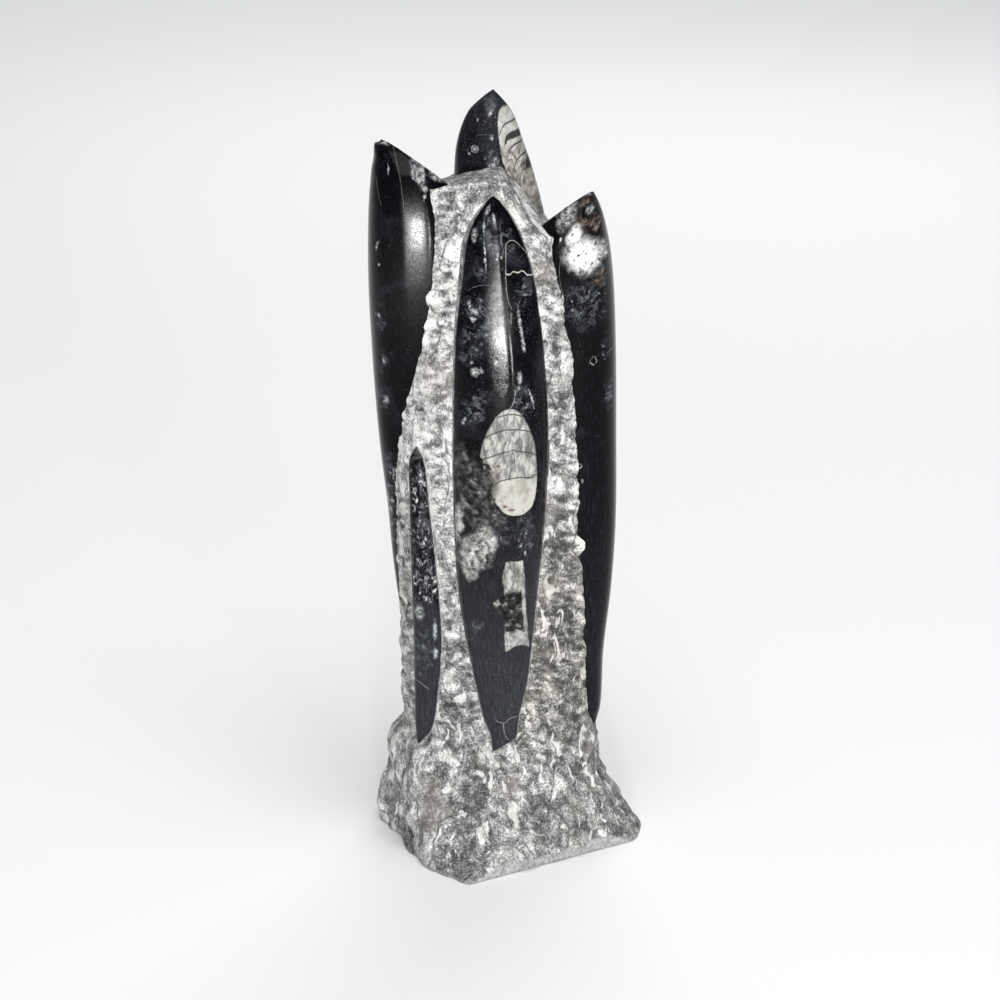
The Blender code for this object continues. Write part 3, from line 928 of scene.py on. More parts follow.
def drawn(x, z, kind, width, strength, points):
    """Mask of a thin line that runs up or across."""
    along, across = (z, x) if kind == "up" else (x, z)
    off = maths("ABSOLUTE", maths("SUBTRACT", across, graph(along, points)))
    mask = shade(off, 1.6 * width, 0.5 * width, 0.0, strength)
    first, last = min(points)[0], max(points)[0]
    mask = times(mask, shade(along, first - 0.3, first + 0.3))
    return times(mask, shade(along, last + 0.3, last - 0.3))


def inside(x, z, left, right):
    """Distance inside a shape between a left and a right edge of (height, across) points."""
    from_left = maths("SUBTRACT", x, graph(z, left))
    from_right = maths("SUBTRACT", graph(z, right), x)
    low, high = min(left)[0], max(left)[0]
    across = maths("MINIMUM", from_left, from_right)
    up = maths("MINIMUM", maths("SUBTRACT", z, low), maths("SUBTRACT", high, z))
    return maths("MINIMUM", across, up)


def most(masks):
    """The strongest of several masks, joined one by one as they are made."""
    strongest = None
    for mask in masks:
        strongest = mask if strongest is None else maths("MAXIMUM", strongest, mask)
    return strongest


def times(*values):
    """The product of several values."""
    product = values[0]
    for value in values[1:]:
        product = maths("MULTIPLY", product, value)
    return product


def new_material(name):
    """New material, with its node tree and its shader."""
    material = bpy.data.materials.new(name)
    material.use_nodes = True
    return material, material.node_tree, material.node_tree.nodes["Principled BSDF"]


def bump(height, distance, strength, under=None):
    """Surface direction over a relief whose depth is in millimetres."""
    inputs = {"Strength": strength, "Distance": distance * MM, "Height": height}
    if under is not None:
        inputs["Normal"] = under
    return new_node("ShaderNodeBump", inputs).outputs["Normal"]


def attribute(tree, name):
    """Value stored at a piece's points."""
    node = tree.nodes.new("ShaderNodeAttribute")
    node.attribute_name = name
    return node.outputs["Fac"]


# ---------------------------------------------------------------- rough stone


def rough_colour(where, crest, colours):
    """Grey broken stone, white from chisel bruising, with painted light on the crests, painted shade in
    the hollows, and dark cracks.
    """
    x, _, z = split(where)
    low = shade(z, 70.0, 28.0)
    lower = times(shade(z, 150.0, 105.0), shade(x, -36.0, -22.0))
    plain = times(shade(x, 2.0, 12.0), shade(z, 150.0, 105.0), shade(z, 34.0, 60.0))
    crown = shade(z, 254.0, 262.0)
    upper = shade(z, 110.0, 190.0)
    right = times(shade(x, 8.0, 14.0), shade(z, 100.0, 140.0))
    # Lighter on the crests and darker in the hollows: partly chisel bruising, partly painted light and
    # shade
    tone = maths("MULTIPLY_ADD", crest, shade(low, 0.0, 1.0, 0.52, 0.42), 0.475)
    shifts = (
        (upper, 0.05), (right, -0.12), (low, -0.02), (lower, -0.10), (plain, -0.08), (crown, -0.12),
    )
    for part, amount in shifts:
        tone = maths("MULTIPLY_ADD", part, amount, tone)
    pushed = stirred(where, 3.0, 0.2)
    strokes = grain(vectors("MULTIPLY", pushed, (0.55, 0.55, 1.2)), 0.27, 4.0, 0.62, 0.3)
    upright = grain(vectors("MULTIPLY", pushed, (1.2, 1.2, 0.65)), 0.24, 4.0, 0.6, 0.3)
    middle = shade(low, 0.0, 1.0, strokes, upright, kind="LINEAR")
    for part, amount in (
        (grain(where, 0.075, 3.0, 0.6), 0.4), (middle, 1.0), (grain(where, 1.25, 4.0, 0.8), 1.8),
    ):
        tone = maths("MULTIPLY_ADD", maths("SUBTRACT", part, 0.5), amount, tone)
    dark = [0.3 * channel for channel in colours.broken]
    colour = ramp(tone, (
        (0.12, dark), (0.30, colours.broken), (0.44, (0.275, 0.273, 0.266)), (0.56, (0.44, 0.436, 0.424)),
        (0.68, (0.68, 0.674, 0.656)), (0.82, colours.bruised_and_lit),
    ))
    tilted = vectors("MULTIPLY", stirred(where, 6.0, 0.09), (1.0, 1.0, 0.5))
    torn = stirred(tilted, 1.4, 0.8)
    blotch = shade(grain(torn, 0.21, 2.0, 0.5, 0.8), 0.59, 0.65, 0.0, 0.9)
    chalk = ramp(middle, ((0.35, (0.52, 0.51, 0.495)), (0.6, (0.84, 0.83, 0.81))))
    colour = blend(blotch, colour, chalk)
    crack = shade(cells(stirred(tilted, 5.0, 0.12), 0.06, "DISTANCE_TO_EDGE"), 0.0, 0.035, 1.0, 0.0)
    crack = times(crack, shade(middle, 0.42, 0.56), 0.8)
    colour = blend(crack, colour, (0.04, 0.04, 0.04))
    blush = shade(grain(where, 0.05, 2.0, 0.5), 0.56, 0.70, 0.0, 0.25)
    colour = blend(blush, colour, (0.42, 0.37, 0.33))
    return blend(times(plain, 0.8), colour, (0.97, 0.94, 0.88), "MULTIPLY")


def rough_material(colours):
    """The hewn ground's stone, with its sawn faces."""
    material, tree, shader = new_material("rough-hewn limestone")
    where = stone_space(tree)
    colour = rough_colour(where, attribute(tree, "crest"), colours)
    chalk = grain(where, 0.7, 5.0, 0.7)
    sawn = ramp(chalk, ((0.36, (0.24, 0.24, 0.236)), (0.62, (0.52, 0.516, 0.505))))
    pits = grain(where, 1.1, 5.0, 0.7)
    feed(shader, {
        "Base Color": blend(attribute(tree, "sawn"), colour, sawn),
        "Roughness": 0.82,
        "Specular IOR Level": 0.3,
        "Normal": bump(pits, 0.9, 0.9),
    })
    return material


def margin_material():
    """Honed light-grey edge, dark along the polish, with a painted highlight along its white outer edge.
    """
    material, tree, shader = new_material("honed margin")
    where = stone_space(tree)
    gap = attribute(tree, "gap")
    wander = maths("MULTIPLY_ADD", grain(where, 0.35, 3.0, 0.6), 0.9, -0.45)
    gap = maths("ADD", gap, wander)
    # Dark along the polish, light grey across, and a painted highlight at the white outer edge
    colour = ramp(shade(gap, 0.0, 1.6, kind="LINEAR"), (
        (0.0, (0.04, 0.04, 0.045)), (0.12, (0.10, 0.10, 0.105)), (0.22, (0.32, 0.32, 0.32)),
        (0.42, (0.44, 0.435, 0.425)), (0.62, (0.74, 0.735, 0.72)),
    ))
    dust = grain(where, 0.9, 5.0, 0.75)
    speckle = ramp(dust, ((0.36, (0.22, 0.22, 0.22)), (0.58, (1, 1, 1))))
    feed(shader, {
        "Base Color": blend(0.95, colour, speckle, "MULTIPLY"),
        "Roughness": 0.6,
        "Normal": bump(dust, 0.25, 0.6),
    })
    return material


# ---------------------------------------------------------------- polished stone


def black_polish(where, colours, haze, paler_foot):
    """Black polished limestone before its fossils: blue haze, paler towards the foot, white dust and faint
    brushing.
    """
    height = split(where)[2]
    low = times(shade(height, 165.0, 60.0), paler_foot)
    colour = blend(low, colours.black, (0.046, 0.048, 0.056))
    cloud = shade(grain(where, 0.06, 5.0, 0.62, 0.6), 0.62 - 0.25 * haze, 0.80)
    veil = [(0.8 + 0.7 * haze) * channel for channel in colours.haze]
    colour = blend(times(cloud, 0.85), colour, veil)
    tall = vectors("MULTIPLY", where, (1.0, 1.0, 0.12))
    brushed = grain(tall, 1.7, 4.0, 0.65)
    dark = times(shade(brushed, 0.54, 0.34), shade(height, 260.0, 60.0, 0.1, 0.45))
    colour = blend(dark, colour, colours.black)
    light = times(shade(brushed, 0.50, 0.74), shade(height, 260.0, 60.0, 0.25, 0.9))
    colour = blend(light, colour, colours.haze, "ADD")
    dust = shade(grain(where, 2.0, 2.0, 0.6), 0.69 - 0.10 * haze, 0.79 - 0.05 * haze)
    spread = shade(grain(where, 0.11, 3.0, 0.5), 0.40, 0.62, 0.1, 1.0)
    spread = maths("MAXIMUM", spread, times(low, 0.9))
    return blend(times(dust, spread), colour, (0.19, 0.195, 0.20))


def shell_hash(flat, colour, mask):
    """Blotchy grey crumbs of shell inside a mask, with a few white ones."""
    mottle = grain(flat, 0.36, 3.0, 0.62, 0.9)
    grey = times(mask, shade(mottle, 0.40, 0.66, 0.0, 0.9))
    colour = blend(grey, colour, (0.060, 0.064, 0.075))
    crumbs = grain(flat, 0.66, 3.0, 0.6, 0.6)
    bright = times(mask, shade(crumbs, 0.52, 0.68, 0.0, 0.9), shade(mottle, 0.44, 0.58))
    colour = blend(bright, colour, (0.20, 0.205, 0.22))
    return blend(times(mask, shade(crumbs, 0.66, 0.76)), colour, (0.52, 0.525, 0.52))


def murk(flat, colour, mask):
    """Muddy grey-brown stone round a crushed part of a fossil."""
    mud = grain(flat, 0.34, 5.0, 0.66, 0.4)
    stone = ramp(mud, (
        (0.36, (0.006, 0.006, 0.007)), (0.48, (0.026, 0.0245, 0.024)), (0.57, (0.085, 0.082, 0.078)),
        (0.66, (0.20, 0.195, 0.184)), (0.76, (0.38, 0.37, 0.35)),
    ))
    return blend(mask, colour, stone)


def calcite_marks(name, flat, colour, colours):
    """The patches, rings and fine lines that are drawn on one lobe; one line on the left lobe is a painted
    highlight along a crease.
    """
    soft = stirred(flat, 5.5, 0.20)
    mask = most((patch(soft, *oval, edge=0.6) for oval in GREY_PATCHES[name]))
    colour = shell_hash(flat, colour, mask)
    crisp = stirred(flat, 1.8, 0.6)
    torn = shade(grain(flat, 0.75, 4.0, 0.75), 0.40, 0.62, 0.05, 0.9)
    mask = most((patch(crisp, *oval, edge=0.6) for oval in WHITE_PATCHES[name]))
    if name in RINGS:
        rings = most((hoop(crisp, *oval, 0.24) for oval in RINGS[name]))
        mask = maths("MAXIMUM", mask, times(rings, 0.75))
    colour = blend(times(mask, torn), colour, (0.50, 0.51, 0.51))
    fine_x, _, fine_z = split(stirred(flat, 0.6, 0.7))
    mask = most((drawn(fine_x, fine_z, *line) for line in LINES[name]))
    broken = shade(grain(flat, 0.6, 3.0, 0.7), 0.34, 0.52, 0.35, 1.0)
    # Lines in calcite white; the left lobe's crease line among them is a painted highlight
    return blend(times(mask, broken), colour, colours.calcite)


def bare_crystals(name, flat, colour):
    """Grey crystals where the polish is broken or etched, with painted highlights as white glints over
    them on the right lobe.
    """
    torn = stirred(flat, 3.6, 0.30)
    mask = most((patch(torn, *oval, edge=0.35) for oval in BARE_PATCHES[name]))
    crystals = grain(flat, 0.62, 5.0, 0.75, 0.4)
    stone = ramp(crystals, (
        (0.36, (0.02, 0.02, 0.022)), (0.47, (0.10, 0.102, 0.108)), (0.56, (0.27, 0.27, 0.275)),
        (0.68, (0.70, 0.70, 0.69)),
    ))
    mask = times(mask, shade(crystals, 0.36, 0.50, 0.35, 0.95))
    colour = blend(mask, colour, stone)
    # Painted highlight: white glints over the crystals
    if name in PAINTED_GLINTS:
        painted_glint = most((patch(torn, *oval, edge=0.6) for oval in PAINTED_GLINTS[name]))
        painted_glint = times(painted_glint, shade(crystals, 0.34, 0.52))
        colour = blend(painted_glint, colour, (0.88, 0.87, 0.86))
    return colour, mask


def calcite(flat, colours):
    """Cream calcite with grey veins."""
    tall = vectors("MULTIPLY", stirred(flat, 3.0, 0.30), (1.0, 1.0, 0.36))
    vein = shade(cells(tall, 0.36, "DISTANCE_TO_EDGE"), 0.0, 0.13, 0.6, 0.0)
    worn = shade(grain(flat, 0.16, 4.0, 0.6), 0.34, 0.56, 0.15, 1.0)
    grey = shade(grain(tall, 0.42, 5.0, 0.68, 0.5), 0.40, 0.62, 0.0, 0.95)
    colour = blend(grey, colours.calcite, (0.13, 0.129, 0.123))
    colour = blend(times(vein, worn), colour, (0.055, 0.054, 0.051))
    speck = shade(grain(flat, 1.5, 2.0, 0.6), 0.62, 0.74, 0.0, 0.6)
    return blend(speck, colour, (0.13, 0.127, 0.118))


def front_fossil(flat, colour, colours):
    """The chambered shell at the middle of the front lobe, and the mud it lies in."""
    torn = stirred(flat, 5.0, 0.20)
    mud = most((patch(torn, *oval, edge=0.5) for oval in FOSSIL_MUD))
    colour = murk(flat, colour, mud)
    x, _, z = split(flat)
    depth = inside(x, z, FOSSIL_LEFT, FOSSIL_RIGHT)
    lower_left = times(shade(x, 3.5, -3.0), shade(z, 165.5, 161.0))
    fray = maths("SUBTRACT", grain(flat, 0.32, 5.0, 0.7), 0.62)
    depth = maths("ADD", depth, times(fray, lower_left, 20.0))
    depth = maths("ADD", depth, maths("MULTIPLY_ADD", grain(flat, 0.8, 3.0, 0.6), 0.5, -0.25))
    mask = shade(depth, -0.15, 0.3)

    smudge = grain(vectors("MULTIPLY", flat, (1.0, 1.0, 0.5)), 0.28, 5.0, 0.66, 0.6)
    cream = blend(shade(smudge, 0.42, 0.66, 0.0, 0.9), colours.calcite, (0.27, 0.26, 0.22))
    stone = blend(shade(z, 156.8, 155.6), calcite(flat, colours), cream)
    brown = times(lower_left, shade(grain(flat, 0.4, 4.0, 0.65), 0.46, 0.62, 0.0, 0.85))
    stone = blend(brown, stone, (0.12, 0.092, 0.078))
    spots = most((patch(stirred(flat, 1.2, 0.7), *oval) for oval in FOSSIL_STAINS))
    stone = blend(times(spots, 0.8), stone, (0.11, 0.045, 0.035))
    rim = times(shade(depth, 1.1, 0.2, 0.0, 0.55), shade(z, 160.0, 165.0))
    stone = blend(rim, stone, (0.11, 0.11, 0.108))

    fine_x, _, fine_z = split(stirred(flat, 0.7, 0.5))
    walls = most((drawn(fine_x, fine_z, "across", 0.26, 0.88, wall) for wall in FOSSIL_WALLS))
    stone = blend(walls, stone, (0.045, 0.042, 0.040))
    middle_x, middle_z, width, height = SIPHUNCLE
    ring = times(hoop(flat, middle_x, middle_z, width, height, 0.26), 0.85)
    stone = blend(ring, stone, (0.09, 0.088, 0.08))
    outer = hoop(flat, middle_x, middle_z - 0.3, 2.3 * width, 1.5 * height, 0.3)
    stone = blend(times(outer, 0.35), stone, (0.2, 0.2, 0.19))
    colour = blend(mask, colour, stone)
    crushed = patch(torn, -4.6, 151.5, 3.4, 8.0, 12, edge=0.5)
    return murk(flat, colour, times(crushed, 0.8)), mask


def calcite_cloud(flat, colour, _colours):
    """The ragged crystal patch under the chambered shell."""
    torn = stirred(flat, 6.5, 0.16)
    crystals = grain(flat, 0.30, 5.0, 0.75, 0.4)
    mask = most((patch(torn, *oval, edge=0.5) for oval in CALCITE_CLOUD))
    mask = times(mask, shade(grain(flat, 0.34, 5.0, 0.75), 0.36, 0.50))
    stone = ramp(crystals, (
        (0.34, (0.035, 0.034, 0.032)), (0.44, (0.17, 0.165, 0.158)), (0.53, (0.38, 0.372, 0.356)),
        (0.64, (0.68, 0.67, 0.645)),
    ))
    sparks = shade(cells(flat, 0.60), 0.16, 0.08)
    stone = blend(times(sparks, 0.9), stone, (0.9, 0.9, 0.9))
    return blend(mask, colour, stone), mask


def tube_fossil(flat, colour, colours):
    """The lower fossil, a tube cut lengthwise: pale ends and a dark crystal-lined middle."""
    x, _, z = split(stirred(flat, 1.6, 0.45))
    mask = shade(inside(x, z, TUBE_LEFT, TUBE_RIGHT), -0.2, 0.4)
    end = patch(flat, 7.1, 85.2, 4.6, 4.4, edge=0.12)
    mask = times(mask, maths("SUBTRACT", 1.0, end))
    rough = split(stirred(flat, 7.0, 0.25))[2]
    hollow = times(shade(rough, 94.5, 96.5), shade(rough, 114.0, 110.5))
    rim = shade(maths("SUBTRACT", graph(z, TUBE_RIGHT), x), 1.0, 1.7)
    inner = ramp(grain(stirred(flat, 2.0, 0.4), 0.34, 4.0, 0.68), (
        (0.42, (0.006, 0.006, 0.006)), (0.54, (0.030, 0.028, 0.026)), (0.61, (0.15, 0.147, 0.138)),
        (0.72, (0.44, 0.435, 0.41)),
    ))
    stone = blend(times(hollow, rim), calcite(flat, colours), inner)
    base = times(shade(z, 95.0, 93.5), 0.75)
    dusty = shade(grain(flat, 0.5, 4.0, 0.65), 0.4, 0.65)
    stone = blend(base, stone, blend(dusty, (0.16, 0.165, 0.16), (0.46, 0.465, 0.45)))
    colour = blend(mask, colour, stone)
    outline = times(patch(flat, 7.1, 85.4, 4.3, 4.0, edge=0.1), shade(z, 81.0, 83.0))
    return blend(times(outline, 0.15), colour, (0.003, 0.003, 0.003)), mask


def rear_fossil(flat, colour, colours):
    """The fossil on the right of the rear lobe: grey calcite with swept-back chamber walls."""
    x, _, z = split(stirred(flat, 0.8, 0.5))
    low, high = REAR_LEFT[0][0], REAR_LEFT[-1][0]
    from_left = maths("SUBTRACT", x, graph(z, REAR_LEFT))
    mask = times(shade(from_left, -0.2, 0.3), shade(z, low, low + 4.0),
                 shade(z, high, high - 1.5))
    folded = vectors("MULTIPLY", stirred(flat, 4.0, 0.2), (1.0, 1.0, 0.55))
    swirl = grain(folded, 0.34, 4.0, 0.62, 1.6)
    stone = ramp(swirl, (
        (0.32, (0.050, 0.042, 0.036)), (0.42, (0.14, 0.128, 0.115)), (0.50, (0.30, 0.29, 0.265)),
        (0.58, (0.40, 0.39, 0.36)), (0.70, colours.calcite),
    ))
    stone = blend(shade(z, 271.0, 276.0, 0.0, 0.6), stone, (0.46, 0.452, 0.425))
    shadow = times(shade(z, 276.0, 250.0), shade(swirl, 0.44, 0.56, 0.7, 0.15))
    stone = blend(shadow, stone, (0.12, 0.10, 0.085))
    speck = shade(grain(flat, 0.9, 4.0, 0.7), 0.54, 0.70, 0.0, 0.6)
    stone = blend(speck, stone, (0.16, 0.158, 0.15))
    blot = patch(stirred(flat, 2.0, 0.4), 10.6, 267.0, 1.3, 2.4)
    stone = blend(blot, stone, (0.02, 0.018, 0.017))
    walls = most((drawn(x, z, "across", 0.36, 0.95, wall) for wall in REAR_WALLS))
    wedge_off = maths("SUBTRACT", z, graph(x, REAR_WEDGE))
    wedge = times(shade(maths("ABSOLUTE", wedge_off), 1.5, 1.1), shade(x, 1.4, 2.0))
    walls = maths("MAXIMUM", walls, wedge)
    edge = shade(maths("ABSOLUTE", from_left), 0.6, 0.25)
    walls = times(maths("MAXIMUM", walls, edge), 0.93)
    return blend(mask, colour, blend(walls, stone, (0.012, 0.012, 0.013))), mask


def shards(flat, colour, _colours):
    """Splinters and crumbs of calcite packed in the low lobe, with one clear chip."""
    bent = vectors("MULTIPLY", stirred(flat, 2.4, 0.3), (1.0, 1.0, 0.7))
    crumbs = grain(bent, 0.52, 4.0, 0.68, 1.2)
    stone = ramp(crumbs, (
        (0.45, (0.003, 0.003, 0.004)), (0.53, (0.022, 0.023, 0.027)), (0.58, (0.09, 0.092, 0.10)),
        (0.64, (0.32, 0.32, 0.322)), (0.71, (0.80, 0.80, 0.79)),
    ))
    chip = patch(stirred(flat, 1.0, 0.4), -28.8, 134.5, 3.8, 2.1, 15, edge=0.15)
    stone = blend(times(chip, 0.5), stone, (0.06, 0.063, 0.07))
    z = split(flat)[2]
    height = maths("MULTIPLY_ADD", grain(flat, 0.18, 3.0, 0.6), 16.0, maths("SUBTRACT", z, 8.0))
    mask = times(shade(height, 99.0, 105.0), shade(height, 168.0, 158.0))
    return blend(mask, colour, stone), times(mask, 0.6)


def tip_stains(flat, colour, _colours):
    """Brown and pinkish stains round the crystals at the right lobe's tip."""
    torn = stirred(flat, 4.0, 0.3)
    crystals = grain(torn, 0.5, 5.0, 0.72, 0.6)
    brown = most((patch(torn, *oval, edge=0.5) for oval in TIP_STAINS))
    mud = ramp(crystals, (
        (0.40, (0.007, 0.006, 0.006)), (0.52, (0.045, 0.032, 0.025)), (0.60, (0.17, 0.14, 0.11)),
        (0.70, (0.42, 0.38, 0.33)),
    ))
    return blend(times(brown, 0.9), colour, mud), times(brown, 0.4)


def far_fossil(name, colour, colours):
    """A long chambered shell on the side of a lobe that faces away from the front."""
    bearing, middle, top, bottom, width, lean, chambers = FAR_FOSSILS[name]
    where = stone_space(colour.id_data, bearing)
    x, depth, z = split(where)
    flat = level(where)
    along = shade(z, top, bottom, kind="LINEAR")
    origin = curve_middle_across(name, bearing, 0.5 * (top + bottom))
    slant = math.tan(math.radians(lean)) * (top - bottom)
    centre = maths("MULTIPLY_ADD", along, slant, origin + middle - 0.5 * slant)
    half = maths("MULTIPLY_ADD", along, 0.82 * width, 0.18 * width)
    share = maths("DIVIDE", maths("SUBTRACT", x, centre), half)
    fray = maths("MULTIPLY_ADD", grain(flat, 0.3, 4.0, 0.65), 0.5, -0.25)
    mask = shade(maths("ADD", maths("ABSOLUTE", share), fray), 1.0, 0.93)
    ends = times(shade(z, bottom, bottom + 1.5), shade(z, top, top - 5.0))
    outer = shade(depth, -2.0, -6.0)
    mask = times(mask, ends, outer)
    bulge = times(share, share, 0.55)
    phase = maths("ADD", times(maths("POWER", along, 0.8), chambers), bulge)
    wall = shade(maths("PINGPONG", phase, 0.5), 0.09, 0.04)
    siphuncle = times(shade(maths("ABSOLUTE", maths("SUBTRACT", share, 0.12)), 0.16, 0.10), 0.5)
    stone = calcite(flat, colours)
    chamber = grain(vectors("MULTIPLY", flat, (0.3, 1.0, 1.0)), 0.12, 1.0, 0.5)
    stone = blend(shade(chamber, 0.5, 0.62, 0.0, 0.85), stone, (0.05, 0.048, 0.046))
    stone = blend(siphuncle, stone, (0.10, 0.098, 0.09))
    stone = blend(times(wall, 0.85), stone, (0.03, 0.029, 0.028))
    return blend(mask, colour, stone), mask


def curve_middle_across(name, bearing, height):
    """A lobe's middle, across the view from a bearing."""
    middle_x, middle_y = curve(LOBES[name][1], height)[:2]
    angle = math.radians(bearing + 90.0)
    return middle_x * math.cos(angle) + middle_y * math.sin(angle)


def polished_material(name, colours):
    """One lobe's polish with everything that is drawn in it."""
    haze, paler_foot, polish = POLISH[name]
    material, tree, shader = new_material(name + " lobe polish")
    where = stone_space(tree)
    flat = leaning(where, curve(LOBES[name][1], LEAN_HEIGHT)[1] + LEAN_BEHIND)
    colour = black_polish(where, colours, haze, paler_foot)
    colour = calcite_marks(name, flat, colour, colours)
    dull = 0.0
    for special in SPECIAL_FOSSILS[name]:
        colour, mask = special(flat, colour, colours)
        dull = maths("MAXIMUM", mask, dull)
    if name in BARE_PATCHES:
        colour, mask = bare_crystals(name, flat, colour)
        dull = maths("MAXIMUM", mask, dull)
    if name in FAR_FOSSILS:
        colour, mask = far_fossil(name, colour, colours)
        dull = maths("MAXIMUM", mask, dull)
    broken = attribute(tree, "broken")
    chips = grain(where, 0.6, 4.0, 0.7)
    bare = ramp(chips, (
        (0.30, (0.010, 0.012, 0.016)), (0.50, (0.07, 0.075, 0.085)), (0.66, (0.46, 0.46, 0.45)),
    ))
    worn = grain(where, 1.7, 3.0, 0.6)
    roughness = shade(worn, 0.40, 0.66, 0.7 * polish, 2.0 * polish)
    roughness = maths("MULTIPLY_ADD", dull, 0.14, roughness)
    roughness = maths("MULTIPLY_ADD", broken, 0.45, roughness)
    ripple = bump(grain(where, 0.12, 2.0, 0.5), 0.25, 0.25)
    pitted = bump(grain(where, 2.2, 2.0, 0.6), 0.03, 0.35, ripple)
    feed(shader, {
        "Base Color": blend(broken, colour, bare),
        "Roughness": roughness,
        "IOR": POLISH_IOR,
        "Normal": bump(times(chips, broken), 1.2, 0.8, pitted),
    })
    if name in DULL_TIPS:
        shine = shade(split(where)[2], *DULL_TIPS[name], 0.5, 0.10)
        feed(shader, {"Specular IOR Level": shine})
    if name in WAXED:
        wax = times(patch(flat, *WAXED[name], edge=1.0), shade(worn, 0.40, 0.62, 0.5, 1.0))
        feed(shader, {"Coat Weight": wax, "Coat Roughness": WAX_ROUGHNESS, "Coat IOR": WAX_IOR})
    return material


# Each lobe's blue haze, how much paler it turns towards the foot, and how rough its polish is
POLISH = {
    "front": (0.62, 0.60, 0.10), "left": (0.35, 0.1, 0.13), "right": (0.15, 0.15, 0.12),
    "rear": (1.2, 0.2, 0.2), "low_left": (0.3, 0.55, 0.2),
}
# The marks slide behind a lobe's middle line, as read at this height and this far past it
LEAN_HEIGHT = 200.0
LEAN_BEHIND = 1.5
POLISH_IOR = 1.17
WAX_IOR = 1.33
WAX_ROUGHNESS = 0.29
# Heights between which the shine fades out towards a tip
DULL_TIPS = {"front": (221.0, 238.0)}
# Where a lobe is waxed: across, height, half width and half height
WAXED = {"front": (-0.5, 216.0, 4.5, 9.0), "left": (-32.5, 233.0, 8.0, 22.0)}
SPECIAL_FOSSILS = {
    "front": (front_fossil, calcite_cloud, tube_fossil),
    "left": (),
    "right": (tip_stains,),
    "rear": (rear_fossil,),
    "low_left": (shards,),
}


# ---------------------------------------------------------------- operators


def dress(piece, *materials):
    """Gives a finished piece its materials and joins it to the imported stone."""
    for material in materials:
        piece.data.materials.append(material)
    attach(piece, "root")
    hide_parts(STONE_NODE)


class ORTHOCERAS_OT_rough_ground(bpy.types.Operator):
    """Makes the rough-hewn ground between the lobes, and the flared foot."""

    bl_idname = "orthoceras.rough_ground"
    bl_label = "Rough ground"

    def execute(self, context):
        settings = context.scene.orthoceras_stone

        def place(turn, ring_number):
            return ground_point(settings, math.degrees(turn), ring_number)

        piece = wrap_sphere(
            "rough_ground", settings.ground_columns, settings.ground_rings, place, ("crest", "sawn"),
        )
        dress(piece, rough_material(context.scene.orthoceras_colours))
        return {"FINISHED"}


class ORTHOCERAS_OT_lobes(bpy.types.Operator):
    """Makes the polished lobes, and the honed edges of the two that face the front."""

    bl_idname = "orthoceras.lobes"
    bl_label = "Lobes"

    def execute(self, context):
        settings = context.scene.orthoceras_stone
        colours = context.scene.orthoceras_colours
        for name in LOBES:
            dress(make_lobe(name, settings), polished_material(name, colours))
            if name in HONED_LOBES:
                dress(make_margin(name, settings), margin_material())
        return {"FINISHED"}


def aim(thing, target):
    """Turns a camera or a light towards a point."""
    thing.rotation_mode = "QUATERNION"
    thing.rotation_quaternion = (Vector(target) - thing.location).to_track_quat("-Z", "Y")


# The studio, in metres: how far the floor lies below the stone, and the lamps.
# A lamp is its name, shape, place, target, size and power in watts.
FLOOR_RADIUS = 6.0
FLOOR_DROP = 0.0002
LAMPS = (
    ("overhead_softbox", "RECTANGLE", (0.2, -0.7, 1.8), (0.0, 0.0, 0.12), (1.6, 1.4), 28.0),
    ("rear_softbox", "RECTANGLE", (0.3, 1.6, 1.4), (0.0, 0.0, 0.12), (1.4, 1.0), 14.0),
    ("backdrop_softbox", "RECTANGLE", (0.0, 3.0, 1.7), (0.0, 3.2, 0.0), (3.0, 1.6), 26.0),
    ("front_lamp", "ELLIPSE", (0.05, -1.6, 0.18), (0.0, 0.0, 0.2), (0.11, 0.13), 15.0),
    ("side_lamp", "ELLIPSE", (0.52, -1.5, 0.16), (0.0, 0.0, 0.2), (0.11, 0.09), 6.5),
)
# The width of the camera's sensor, in millimetres
SENSOR_WIDTH = 36.0


def add_lamp(name, shape, place, target, size, power):
    """New area lamp that shines towards a target."""
    light = bpy.data.lights.new(name, "AREA")
    light.shape = shape
    light.size, light.size_y = size
    light.energy = power
    lamp = bpy.data.objects.new(name, light)
    bpy.context.scene.collection.objects.link(lamp)
    lamp.location = place
    aim(lamp, target)


def make_floor(colour):
    """The pale floor that the stone stands on."""
    shape = bmesh.new()
    bmesh.ops.create_circle(shape, cap_ends=True, segments=96, radius=FLOOR_RADIUS)
    mesh = bpy.data.meshes.new("studio_floor")
    shape.to_mesh(mesh)
    shape.free()
    floor = bpy.data.objects.new("studio_floor", mesh)
    bpy.context.scene.collection.objects.link(floor)
    material, _, shader = new_material("pale floor")
    feed(shader, {"Base Color": (*colour, 1.0), "Roughness": 0.9, "Specular IOR Level": 0.1})
    mesh.materials.append(material)
    floor.location.z = -FLOOR_DROP


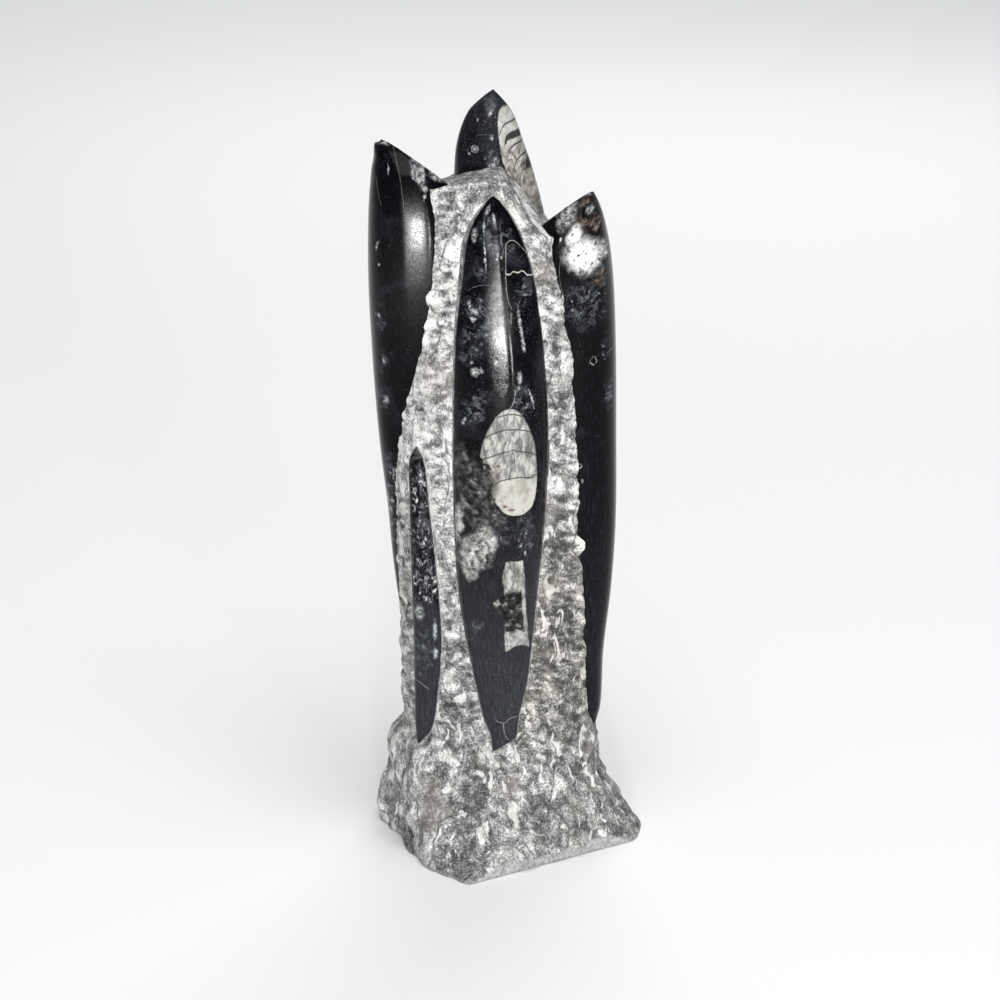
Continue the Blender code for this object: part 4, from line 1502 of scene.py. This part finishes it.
def make_camera(settings):
    """The camera, which looks down a little at the stone's front."""
    camera = bpy.data.objects.new("camera", bpy.data.cameras.new("camera"))
    bpy.context.scene.collection.objects.link(camera)
    bpy.context.scene.camera = camera
    target = Vector((-MIDDLE.x * MM, -MIDDLE.y * MM, settings.aim_height))
    rise = settings.camera_rise
    back = Vector((0.0, -math.cos(rise), math.sin(rise)))
    camera.location = target + back * settings.camera_distance
    aim(camera, target)
    camera.data.sensor_width = SENSOR_WIDTH
    camera.data.lens = SENSOR_WIDTH * settings.camera_distance / settings.view_width


def make_daylight():
    """Faint even light from all round."""
    world = bpy.data.worlds.new("studio")
    bpy.context.scene.world = world
    world.use_nodes = True
    feed(world.node_tree.nodes["Background"], {"Color": (0.9, 0.95, 1.0, 1.0), "Strength": 0.24})


class ORTHOCERAS_OT_stage(bpy.types.Operator):
    """Makes the pale floor, the soft studio light and the camera."""

    bl_idname = "orthoceras.stage"
    bl_label = "Stage"

    def execute(self, context):
        make_floor(context.scene.orthoceras_colours.floor)
        make_camera(context.scene.orthoceras_stage)
        for lamp in LAMPS:
            add_lamp(*lamp)
        make_daylight()
        context.scene.view_settings.view_transform = "Standard"
        return {"FINISHED"}


class ORTHOCERAS_PT_panel(bpy.types.Panel):
    """Lists the stone's pieces and the stage."""

    bl_label = "Orthoceras Stone"
    bl_idname = "ORTHOCERAS_PT_panel"
    bl_space_type = "VIEW_3D"
    bl_region_type = "UI"
    bl_category = "Fossil"

    def draw(self, context):
        for operator in OPERATORS:
            self.layout.operator(operator.bl_idname)


SETTINGS = {
    "orthoceras_stone": OrthocerasStoneSettings,
    "orthoceras_colours": OrthocerasColourSettings,
    "orthoceras_stage": OrthocerasStageSettings,
}
OPERATORS = (
    ORTHOCERAS_OT_stage,
    ORTHOCERAS_OT_rough_ground,
    ORTHOCERAS_OT_lobes,
)
CLASSES = (*SETTINGS.values(), *OPERATORS, ORTHOCERAS_PT_panel)


def register():
    for each in CLASSES:
        bpy.utils.register_class(each)
    for name, group in SETTINGS.items():
        setattr(bpy.types.Scene, name, PointerProperty(type=group))


def unregister():
    for name in SETTINGS:
        delattr(bpy.types.Scene, name)
    for each in reversed(CLASSES):
        bpy.utils.unregister_class(each)


def main():
    register()
    bpy.ops.orthoceras.stage()
    bpy.ops.orthoceras.rough_ground()
    bpy.ops.orthoceras.lobes()


if __name__ == "__main__":
    main()
